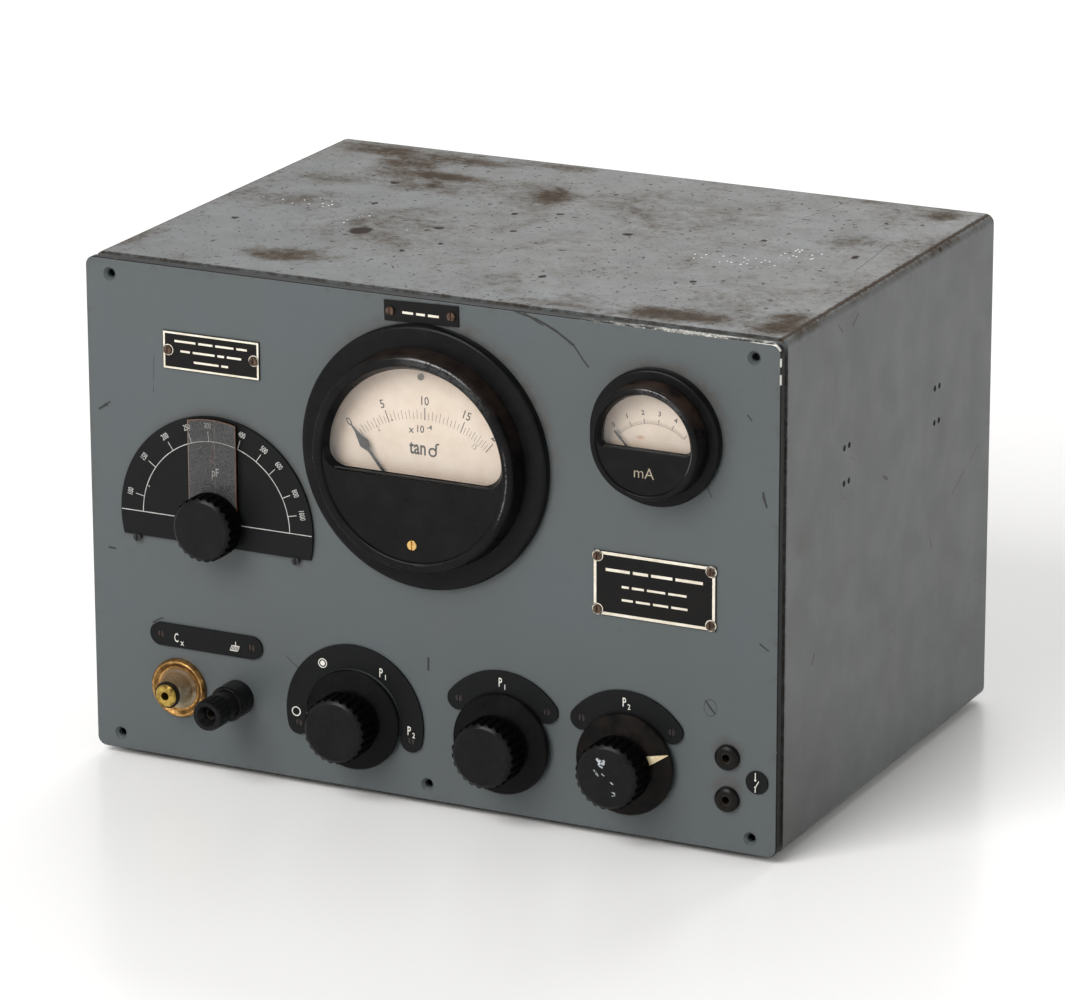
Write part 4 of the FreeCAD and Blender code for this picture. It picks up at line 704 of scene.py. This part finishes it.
def knob_black(name, centre, levels, brown=0.06, scrapes=()):
    """Black knob: a smudged face, a matt fluted wall from foot to face with painted shade that darkens it near
    black, and a skirt worn brown.
    """
    f = Finish(name, (12, 12, 13))
    foot, face = levels
    out = FACE_Y - f.y
    cloudy = f.noise(9, 5, 0.65)
    fine = f.noise(0.8, 3, 0.7)
    skirt = out.fade(foot + 0.5, foot - 0.5)
    wall = out.fade(foot, foot + 1) * out.fade(face - 0.5, face - 1.6)
    f.coat((24, 23, 24), cloudy.fade(0.4, 0.75) * 0.6)
    f.coat((7, 7, 7), skirt * 0.7)
    f.coat((40, 31, 25), skirt * cloudy.fade(0.30, 0.70) * brown)
    # painted shade: the fluted wall darkened near black
    f.coat((5, 5, 5), wall * 0.8)
    f.coat((120, 116, 108), f.specks(4, 0.16, 0.3) * 0.5)
    if scrapes:
        x, z = centre
        flat = f.vector("MULTIPLY", f.warped(1.2, 1), (1, 0, 1))
        strokes = [((x + ax, 0, z + az + PANEL_Z), (x + bx, 0, z + bz + PANEL_Z), half)
                   for ax, az, bx, bz, half in scrapes]
        scraped = f.scratches(flat, strokes) * out.fade(face - 2, face - 0.5) * fine.fade(0.36, 0.5)
        f.coat((188, 194, 198), scraped * 0.8)
        f.coat((170, 156, 128), f.specks(7, 0.36, 0.2) * skirt)
    rough = cloudy.fade(0.3, 0.75) * 0.16 + 0.25 + wall * 0.3
    f.done(rough, fine * 0.3, 0.03, shine=0.13 - wall * 0.10 - skirt * 0.06)


def plate_screw_metal():
    """Browned steel of the plates' screws, blackened on the two under the tuning dial."""
    f = Finish("plate_screws", (86, 64, 48))
    cloudy = f.noise(1.5, 5, 0.65, twist=0.4)
    clips = f.x.fade(-50, -60) * (f.z - PANEL_Z).fade(125, 118)
    f.coat((34, 24, 18), cloudy.fade(0.4, 0.65))
    f.coat((14, 13, 13), clips)
    f.done(cloudy * 0.2 + 0.38, f.noise(0.3, 3, 0.6), 0.02, metallic=0.4 - clips * 0.3)


def label_screw_metal():
    """Rusted steel of the labels' screws, blackened right of the terminals."""
    f = Finish("label_screws", (50, 33, 26))
    cloudy = f.noise(1.2, 5, 0.65, twist=0.4)
    black = f.x.fade(TERMINAL_LABEL[0] + 24, TERMINAL_LABEL[0] + 30)
    f.coat((18, 14, 13), cloudy.fade(0.40, 0.66))
    f.coat((20, 17, 16), black * 0.8)
    f.done(cloudy * 0.2 + 0.42, cloudy, 0.02, metallic=0.25 - black * 0.15)


def slot_finishes():
    """A finish for each material slot of the frame."""
    case_paint()
    panel_paint()
    ceramic()
    meter_paper()
    meter_glass()
    cursor_plastic()
    laminations()
    flat_coat("frame_steel", (84, 88, 88), (70, 72, 70), 0.5)
    flat_coat("gasket_felt", (8, 8, 8), (14, 13, 13), 0.95, 0.8, 0.2, shine=0.05)
    flat_coat("foot_rubber", (28, 28, 28), (44, 42, 40), 0.75, 1, 0.05)
    flat_coat("needle_black", (26, 27, 31), (36, 36, 40), 0.45, 0.6, 0.01)
    flat_coat("valve_shell", (46, 48, 52), (58, 60, 62), 0.34, 2, 0.03, metallic=0.3)
    flat_coat("winding_wrap", (142, 110, 66), (104, 76, 44), 0.6, 2, 0.1)
    flat_coat("phenolic", (98, 66, 42), (72, 46, 30), 0.45, 2, 0.03)
    worn_black("bakelite_black", (12, 12, 13), (34, 27, 22), 0.22)
    worn_black("bakelite_brown", (14, 13, 12), (38, 28, 20), 0.28, 0.4)
    worn_black("label_black", (13, 14, 15), (28, 24, 21), 0.42, 0.2)
    worn_black("plate_black", (14, 13, 13), (32, 26, 20), 0.40, 0.3)
    worn_black("dial_black", (14, 15, 16), (27, 24, 22), 0.42, 0.2)
    metal("chassis_metal", (206, 206, 202), (150, 148, 140), 0.34, 0.4, 22, (0.2, 1, 1))
    metal("screw_dark", (74, 52, 38), (30, 21, 16), 0.46, 0.85, 1.5, metallic=0.35)
    metal("steel_bright", (196, 194, 190), (130, 124, 112), 0.30, 0.5, 4)
    metal("brass", (214, 176, 112), (112, 78, 44), 0.24, 0.75, 3.2)
    metal("can_metal", (186, 188, 190), (140, 138, 132), 0.32, 0.5, 14)
    metal("magnet_grey", (96, 98, 102), (64, 60, 56), 0.5, 0.6, 5, metallic=0.7)


def node_finishes():
    """Finishes of single nodes, which go before the finish of the node's slot."""
    # the last figure is how strongly each drum wall's top gets its painted-light brown
    meter_cover("main_meter_cover", MAIN, 51.4, 16.2, 0.45)
    meter_cover("small_meter_cover", SMALL, 26.6, 15.4, 0.9)
    terminal_brass("terminal_ring", (192, 150, 92), (140, 102, 58), (62, 42, 26))
    terminal_brass("terminal_socket", (188, 160, 84), (136, 110, 52), (62, 46, 24))
    knob_black("tuning_knob", TUNING, TUNING_KNOB)
    knob_black("selector_knob", SELECTOR, SKIRTED_KNOB)
    knob_black("preset_1_knob", PRESET_1, SKIRTED_KNOB)
    knob_black("preset_2_knob", PRESET_2, SKIRTED_KNOB, 0.34, CAP_SCRAPES)
    plate_screw_metal()
    label_screw_metal()
    metal("dark_brass", (44, 36, 26), (18, 15, 13), 0.5, 0.8, 1.5, metallic=0.4)
    for node in ("post_stem", "post_washer", "socket_sleeves"):
        FINISHES[node] = FINISHES["dark_brass"]


def mark_finishes():
    """Paints, inks and fillings of the thin marks."""
    flat_coat("ivory_paint", (224, 222, 214), (196, 192, 182), 0.5, 0.5, 0.01)
    flat_coat("white_paint", (196, 196, 192), (156, 156, 152), 0.5, 0.5, 0.01)
    flat_coat("pale_rim", (222, 217, 204), (196, 186, 166), 0.45, 1.2, 0.01)
    flat_coat("engraved_fill", (162, 152, 132), (126, 116, 98), 0.5, 0.5, 0.01)
    flat_coat("scale_ink", (40, 38, 40), (66, 62, 60), 0.55, 0.4, 0.005)
    flat_coat("faint_ink", (104, 96, 90), (134, 122, 112), 0.55, 0.4, 0.005)
    flat_coat("pin_grey", (104, 100, 94), (72, 66, 58), 0.4, 0.5, 0.01, metallic=0.3)
    flat_coat("ledge_black", (16, 16, 16), (30, 28, 27), 0.34, 0.8, 0.01, shine=0.22)
    flat_coat("pointer_ivory", (222, 208, 176), (186, 164, 120), 0.4, 0.9, 0.02)


def paint_nodes():
    """Give every node its own finish, or else the finish of its slot."""
    for part in frame["record"]["subparts"]:
        node, slot = part["node"], part["material_slot"]
        mesh = NODES[node].data
        mesh.materials.clear()
        mesh.materials.append(FINISHES.get(node, FINISHES[slot]))
        mesh.shade_smooth()
        mesh.set_sharp_from_angle(angle=math.radians(28))


def brass_pins():
    """Give the faces of the mains inlet's two pins their own brass."""
    mesh = NODES["mains_inlet"].data
    mesh.materials.append(FINISHES["brass"])
    low, high = corners("mains_inlet")
    centre = (low + high) / 2
    for face in mesh.polygons:
        place = face.center / MM
        beside = abs(abs(place.x - centre.x) - INLET_PIN_OFFSET)
        if math.hypot(beside, place.z - centre.z) < INLET_PIN_R + 0.1:
            face.material_index = 1


slot_finishes()
node_finishes()
mark_finishes()
paint_nodes()
brass_pins()


# ---- thin marks ----

def add_piece(name, built, finish, body):
    """Turn built geometry into a named piece that rides on a body."""
    bmesh.ops.recalc_face_normals(built, faces=built.faces)
    mesh = bpy.data.meshes.new(name)
    built.to_mesh(mesh)
    built.free()
    mesh.materials.append(FINISHES[finish])
    piece = bpy.data.objects.new(name, mesh)
    bpy.context.scene.collection.objects.link(piece)
    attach(piece, body)


def loft(built, rows, closed=False):
    """Solid bar or ring along rows that hold two (x, z) points with their back and front levels."""
    made = []
    for a, b, back, front in rows:
        levels = ((a, back), (a, front), (b, front), (b, back))
        made.append([built.verts.new(at(x, out, z)) for (x, z), out in levels])
    pairs = list(zip(made, made[1:]))
    if closed:
        pairs.append((made[-1], made[0]))
    for row, after in pairs:
        for side in range(4):
            beside = (side + 1) % 4
            built.faces.new((row[side], row[beside], after[beside], after[side]))
    if not closed:
        built.faces.new(made[0][::-1])
        built.faces.new(made[-1])


class Marks:
    """Thin closed solids of paint or engraving on one flat face in front of the panel."""

    def __init__(self, out, rise=0.06):
        self.mesh = bmesh.new()
        self.back = out
        self.front = out + rise

    def band(self, left, right, closed=False):
        """Solid between two edges given as equal lists of (x, z) points."""
        loft(self.mesh, [(a, b, self.back, self.front) for a, b in zip(left, right)], closed)

    def stroke(self, start, end, width):
        """Straight line."""
        start, end = Vector(start), Vector(end)
        run = end - start
        across = Vector((-run.y, run.x)).normalized() * width / 2
        self.band([start + across, end + across], [start - across, end - across])

    def arc(self, centre, radius, width, start=0, end=360, step=3):
        """Band bent round a centre."""
        closed = end - start >= 360
        count = max(3, math.ceil((end - start) / step))
        turns = [start + (end - start) * k / count for k in range(count if closed else count + 1)]
        outer = [spot(centre, radius + width / 2, turn) for turn in turns]
        inner = [spot(centre, radius - width / 2, turn) for turn in turns]
        self.band(outer, inner, closed)

    def disc(self, centre, radius, sides=20):
        """Round plate."""
        rim = [spot(centre, radius, 360 * k / sides) for k in range(sides)]
        back = [self.mesh.verts.new(at(x, self.back, z)) for x, z in rim]
        front = [self.mesh.verts.new(at(x, self.front, z)) for x, z in rim]
        self.mesh.faces.new(front)
        self.mesh.faces.new(back[::-1])
        for k in range(sides):
            self.mesh.faces.new((back[k - 1], back[k], front[k], front[k - 1]))

    def letters(self, text, centre, height, turn=0, squeeze=0.8, weight=0):
        """Lettering of a cap height centred on a point, turned anticlockwise by degrees."""
        curve = bpy.data.curves.new("letters", "FONT")
        curve.body = text
        curve.size = height / CAPITAL_SHARE
        curve.align_x = "CENTER"
        curve.offset = weight
        curve.resolution_u = 3
        curve.extrude = (self.front - self.back) / 2
        carrier = bpy.data.objects.new("letters", curve)
        mesh = bpy.data.meshes.new_from_object(carrier)
        upright = Matrix.Rotation(math.radians(90), 4, "X")
        lean = Matrix.Rotation(math.radians(-turn), 4, "Y")
        place = at(centre[0], (self.back + self.front) / 2, centre[1])
        mesh.transform(Matrix.Diagonal((squeeze, 1, 1, 1)))
        mesh.transform(Matrix.Translation((0, -height / 2, 0)))
        mesh.transform(Matrix.Translation(place) @ Matrix.Scale(MM, 4) @ lean @ upright)
        self.mesh.from_mesh(mesh)
        bpy.data.objects.remove(carrier)
        bpy.data.curves.remove(curve)
        bpy.data.meshes.remove(mesh)

    def piece(self, name, finish):
        """Finish the solids as one piece that rides on the front unit."""
        bmesh.ops.remove_doubles(self.mesh, verts=self.mesh.verts, dist=1e-7)
        add_piece(name, self.mesh, finish, "front_unit")


def tuning_dial_marks():
    """White scale of the tuning dial, in picofarads."""
    marks = Marks(DIAL_FACE)
    x, z = TUNING
    arc_r, tick_r, number_r = 38.8, 43.4, 46.5
    scale = {"100": 168.8, "150": 144.6, "200": 124.8, "250": 108.4, "300": 94.6, "400": 71.9,
             "500": 56, "600": 43.4, "800": 25, "1000": 11.9}
    marks.arc(TUNING, arc_r, 0.34, 0, 180)
    for side in (-1, 1):
        marks.stroke((x + side * 8, z), (x + side * (DIAL_R - 0.4), z), 0.36)
    for number, angle in scale.items():
        marks.stroke(spot(TUNING, arc_r, angle), spot(TUNING, tick_r, angle), 0.3)
        marks.letters(number, spot(TUNING, number_r, angle), 2.9, angle - 90, 0.62)
    marks.letters("pF", (x, z + 24.2), 4.2, 0, 0.7)
    marks.stroke((x - 35.7, z + 13.2), (x - 35.2, z + 12.4), 0.4)
    marks.piece("tuning_dial_marks", "white_paint")


def delta_sign(marks, foot, height):
    """Lower-case delta drawn as a ring with a hooked stem."""
    x, z = foot
    ring_r = height * 0.27
    line = height * 0.13
    centre = (x, z - height * 0.2)
    elbow = z + height * 0.28
    marks.arc(centre, ring_r, line, step=12)
    marks.stroke(spot(centre, ring_r, 20), (x + ring_r, elbow), line)
    marks.arc((x + ring_r * 1.55, elbow), ring_r * 0.55, line, 60, 180, 12)


def main_scale_marks():
    """Printed scale of the large meter, 0 to 20, and the pin above it."""
    bold = Marks(SCALE_FACE)
    fine = Marks(SCALE_FACE)
    centre = (MAIN_PIVOT[0] + 1, MAIN_PIVOT[1])
    majors = (131.2, 111.3, 89.6, 68, 50.6)
    foot_r, major_r, number_r = 49, 54.8, 58.2
    for number, angle in enumerate(majors):
        bold.stroke(spot(centre, foot_r, angle), spot(centre, major_r, angle), 0.42)
        place = spot(centre, number_r, angle + 0.3)
        bold.letters(str(5 * number), place, 4.1, (angle - 90) * 0.85, 0.86, 0.05)
    for start, end in zip(majors, majors[1:]):
        for k in range(1, 10):
            angle = start + (end - start) * k / 10
            outer = 53.6 if k % 2 == 0 else 52.6
            fine.stroke(spot(centre, 49.2, angle), spot(centre, outer, angle), 0.24)
    x, z = MAIN
    for text, dx, dz, height, squeeze, weight in [
        ("x", -5.6, 13.4, 3.4, 1, 0.06), ("10", -1.2, 14.1, 3.5, 0.92, 0.04),
        ("-4", 3.7, 15.4, 2.3, 1, 0.05), ("tan", -2.3, 5.4, 6.8, 0.72, 0.2),
    ]:
        bold.letters(text, (x + dx, z + dz), height, 0, squeeze, weight)
    delta_sign(bold, (x + 5.2, z + 5), 6.6)
    bold.disc((x - 15.4, z + 16.3), 0.45, 10)
    bold.piece("main_scale_marks", "scale_ink")
    fine.letters("2", (x - 22.6, z + 11.6), 3, 35, 0.7)
    fine.letters("15", (x + 26.5, z + 9.5), 3, -40, 0.7)
    fine.piece("main_scale_fine_marks", "faint_ink")
    pin = Marks(SCALE_FACE, 0.7)
    pin.disc((x - 0.4, z + 38.6), 1.55, 24)
    pin.piece("main_scale_pin", "pin_grey")


def small_scale_marks():
    """Printed scale of the small meter, 0 to 5."""
    marks = Marks(SCALE_FACE)
    fine = Marks(SCALE_FACE)
    first, last, numbers, ticks = 133.2, 51.2, 5, 50
    arc_r, minor_r, major_r, number_r = 23.6, 25, 26, 28.8
    for k in range(numbers + 1):
        angle = first + (last - first) * k / numbers
        marks.stroke(spot(SMALL_PIVOT, arc_r, angle), spot(SMALL_PIVOT, major_r, angle), 0.34)
        if k < numbers:
            marks.letters(str(k), spot(SMALL_PIVOT, number_r, angle), 2.2, (angle - 90) * 0.6, 1.05, 0.06)
    marks.piece("small_scale_marks", "scale_ink")
    for k in range(ticks + 1):
        angle = first + (last - first) * k / ticks
        fine.stroke(spot(SMALL_PIVOT, arc_r + 0.1, angle), spot(SMALL_PIVOT, minor_r, angle), 0.15)
    fine.arc(SMALL_PIVOT, arc_r, 0.16, last, first)
    fine.piece("small_scale_fine_marks", "faint_ink")


def cover_legend():
    """Unit engraved on the small meter's cover."""
    marks = Marks(SMALL_COVER_FACE)
    marks.letters("mA", (SMALL[0] + 0.1, SMALL[1] - 12.9), 5.3, 0, 0.98, -0.08)
    marks.piece("small_meter_legend", "engraved_fill")


def window_ledge(name, centre, window, face):
    """Rounded ledge moulded along the lower edge of a meter's window."""
    x, z = centre
    radius, drop = window
    ledge = Marks(face, 0.45)
    below = z - drop - 0.9
    half = math.sqrt(radius ** 2 - drop ** 2) - radius * 0.08
    ledge.stroke((x - half, below), (x + half, below), 0.7)
    ledge.piece(name, "ledge_black")


def terminal_label_marks():
    """Lettering of the straight label: the tested capacitor and earth."""
    marks = Marks(LABEL_FACE)
    x, z = TERMINAL_LABEL
    marks.letters("C", (x - 15.8, z - 0.6), 4.4, 0, 0.55)
    marks.letters("x", (x - 12.7, z - 2.6), 3.2, 0, 0.8)
    high, low, lean = z - 0.2, z - 2.6, 1
    marks.stroke((x + 15.9, z + 1.9), (x + 15.9, high), 0.36)
    for level, shift in ((high, 0), (low, lean)):
        marks.stroke((x + 13.8 - shift, level), (x + 18 - shift, level), 0.36)
    for k in range(6):
        top = x + 13.9 + k * 0.8
        marks.stroke((top, high), (top - lean, low), 0.26)
    marks.piece("terminal_label_marks", "ivory_paint")


def numbered(marks, centre, number):
    """A preset's letter with its number set low beside it."""
    x, z = centre
    marks.letters("P", (x, z), 4.4, 0, 0.62, 0.04)
    marks.letters(number, (x + 2.4, z - 2), 2.6, 0, 0.85, 0.03)


def selector_label_marks():
    """Symbols of the four selector positions."""
    marks = Marks(LABEL_FACE)
    marks.arc(spot(SELECTOR, 30.6, 182), 2.1, 0.5, step=10)
    on = spot(SELECTOR, 29.6, 123.4)
    marks.arc(on, 2.1, 0.42, step=10)
    marks.disc(on, 1.25)
    numbered(marks, spot(SELECTOR, 28.4, 60.2), "1")
    numbered(marks, spot(SELECTOR, 28.5, -3), "2")
    marks.piece("selector_label_marks", "ivory_paint")


def preset_label_marks():
    """Numbers of the two presets."""
    marks = Marks(LABEL_FACE)
    for (x, z), number in ((PRESET_1, "1"), (PRESET_2, "2")):
        numbered(marks, (x - 1, z + 29.3), number)
    marks.piece("preset_label_marks", "ivory_paint")


def plate_border(marks, centre, half_w, half_h, line):
    """Pale border just inside a plate's edge."""
    x, z = centre
    inset = line / 2 + 0.25
    w, h = half_w - inset, half_h - inset
    for side in (-1, 1):
        marks.stroke((x - w - line / 2, z + side * h), (x + w + line / 2, z + side * h), line)
        marks.stroke((x + side * w, z - h + line / 2), (x + side * w, z + h - line / 2), line)


def text_rules(marks, centre, rows):
    """Rows of short dashes where a plate's wording would stand."""
    x, z = centre
    for height, dashes, thick in rows:
        for start, end in dashes:
            marks.stroke((x + start, z + height), (x + end, z + height), thick)


def plate_marks():
    """Borders and plain rules of the maker's plate, the rating plate and the inventory plate."""
    marks = Marks(PLATE_FACE)
    plate_border(marks, MAKER_PLATE, 25.3, 9.1, 0.9)
    plate_border(marks, RATING_PLATE, 30.25, 15.15, 1.35)
    for side in (-1, 1):
        marks.arc((MAKER_PLATE[0] + side * 22.5, MAKER_PLATE[1]), 2.5, 0.35, step=12)
        for level in (-1, 1):
            screw = (RATING_PLATE[0] + side * 28, RATING_PLATE[1] + level * 12.6)
            marks.arc(screw, 2.45, 0.5, step=12)
    text_rules(marks, MAKER_PLATE, [
        (4.6, ((-19, -8), (-6.5, 1), (2.5, 12), (13.5, 19)), 1),
        (0, ((-16, -11), (-9.5, 2), (3.5, 7), (8.5, 16)), 1),
        (-4.6, ((-9, 4), (5.5, 9)), 1),
    ])
    text_rules(marks, INVENTORY_PLATE, [(-0.6, ((-9.5, -4), (-2.5, 2), (3.5, 9)), 1.1)])
    text_rules(marks, RATING_PLATE, [
        (6.6, ((-24, -12), (-10.5, -3), (-1.5, 9), (10.5, 24)), 1.35),
        (-0.6, ((-16, -12.5), (-11, -5), (-3.5, 5.5), (7, 16)), 1.05),
        (-6.8, ((-16, -10.5), (-9, -2), (-0.5, 7), (8.5, 16.5)), 1.05),
    ])
    marks.piece("plate_marks", "pale_rim")


def symbol_marks():
    """Switch contact sign of the round plate beside the sockets."""
    marks = Marks(SYMBOL_FACE)
    x, z = SYMBOL
    left = x - 0.6
    for end, dot in ((4.7, 1.1), (-4.7, -2.2)):
        marks.stroke((left, z + end), (left, z + dot + math.copysign(0.2, end)), 0.4)
        marks.disc((left, z + dot), 0.5, 12)
    marks.stroke((x - 0.5, z - 2.2), (x + 1.1, z + 0.8), 0.36)
    marks.piece("symbol_marks", "ivory_paint")


def pointer(knob, centre, direction):
    """Ivory triangle let into the sloping skirt of a knob."""
    (inner, high), (outer, low) = SKIRT
    wide, tip, sunk, proud, count = 2.15, 0.14, 0.4, 0.1, 8
    rows = []
    for k in range(count + 1):
        share = k / count
        radius = inner + (outer - inner) * share
        level = high + (low - high) * share
        half = math.degrees(wide * (1 - share) + tip) / radius
        left, right = (spot(centre, radius, direction + side * half) for side in (1, -1))
        rows.append((left, right, level - sunk, level + proud))
    built = bmesh.new()
    loft(built, rows)
    add_piece(f"{knob}_pointer", built, "pointer_ivory", f"{knob}_drive")


tuning_dial_marks()
main_scale_marks()
small_scale_marks()
cover_legend()
window_ledge("main_window_ledge", MAIN, MAIN_WINDOW, MAIN_COVER_FACE)
window_ledge("small_window_ledge", SMALL, SMALL_WINDOW, SMALL_COVER_FACE)
terminal_label_marks()
selector_label_marks()
preset_label_marks()
plate_marks()
symbol_marks()
pointer("selector", SELECTOR, 180)
pointer("preset_1", PRESET_1, 215)
pointer("preset_2", PRESET_2, 20)


# ---- floor, light and camera ----

def studio_floor():
    """Plain pale floor."""
    f = Finish("studio_floor", (253, 252, 250))
    f.done(f.noise(900, 2) * 0.08 + 0.16, shine=0.35)
    bpy.ops.mesh.primitive_plane_add(size=16, location=(0, 0, 0))
    floor = bpy.context.object
    floor.name = "studio_floor"
    floor.data.materials.append(f.material)


def studio_world():
    """White surround that darkens overhead."""
    world = bpy.data.worlds.new("studio")
    world.use_nodes = True
    tree = world.node_tree
    direction = tree.nodes.new("ShaderNodeTexCoord")
    height = tree.nodes.new("ShaderNodeSeparateXYZ")
    fall = tree.nodes.new("ShaderNodeMapRange")
    fall.interpolation_type = "SMOOTHSTEP"
    for name, value in (("From Min", 0.12), ("From Max", 0.75), ("To Min", 1), ("To Max", 0.15)):
        fall.inputs[name].default_value = value
    sky = tree.nodes["Background"]
    sky.inputs["Color"].default_value = (1, 1, 1, 1)
    tree.links.new(direction.outputs["Generated"], height.inputs[0])
    tree.links.new(height.outputs["Z"], fall.inputs["Value"])
    tree.links.new(fall.outputs["Result"], sky.inputs["Strength"])
    bpy.context.scene.world = world


def lamp(name, place, target, size, watts):
    """Rectangular soft light turned towards a target."""
    light = bpy.data.lights.new(name, "AREA")
    light.shape = "RECTANGLE"
    light.size, light.size_y = size
    light.energy = watts
    made = bpy.data.objects.new(name, light)
    made.location = place
    made.rotation_euler = (Vector(target) - Vector(place)).to_track_quat("-Z", "Y").to_euler()
    bpy.context.scene.collection.objects.link(made)


def camera():
    """Camera in front, to the right and above, with a long lens."""
    azimuth, elevation, roll = 26.317, 17.367, -0.165
    turns = ((azimuth, "Z"), (90 - elevation, "X"), (roll, "Z"))
    data = bpy.data.cameras.new("camera")
    data.lens = 196.2
    data.sensor_width = 36
    placed = Matrix.Translation((1.1606, -2.3473, 0.9364))
    for angle, axis in turns:
        placed = placed @ Matrix.Rotation(math.radians(angle), 4, axis)
    made = bpy.data.objects.new("camera", data)
    made.matrix_world = placed
    bpy.context.scene.collection.objects.link(made)
    bpy.context.scene.camera = made


studio_floor()
studio_world()
lamp("key", (-0.50, -1.74, 1.50), (0, 0, 0.12), (1.3, 1.3), 50)
lamp("fill", (1.9, 0.9, 1.5), (0.5, -0.1, 0), (1.2, 1.2), 6.5)
lamp("background", (-0.6, 3.4, 2.6), (-0.6, 3.2, 0), (3, 2.4), 130)
camera()
bpy.context.scene.view_settings.view_transform = "Standard"
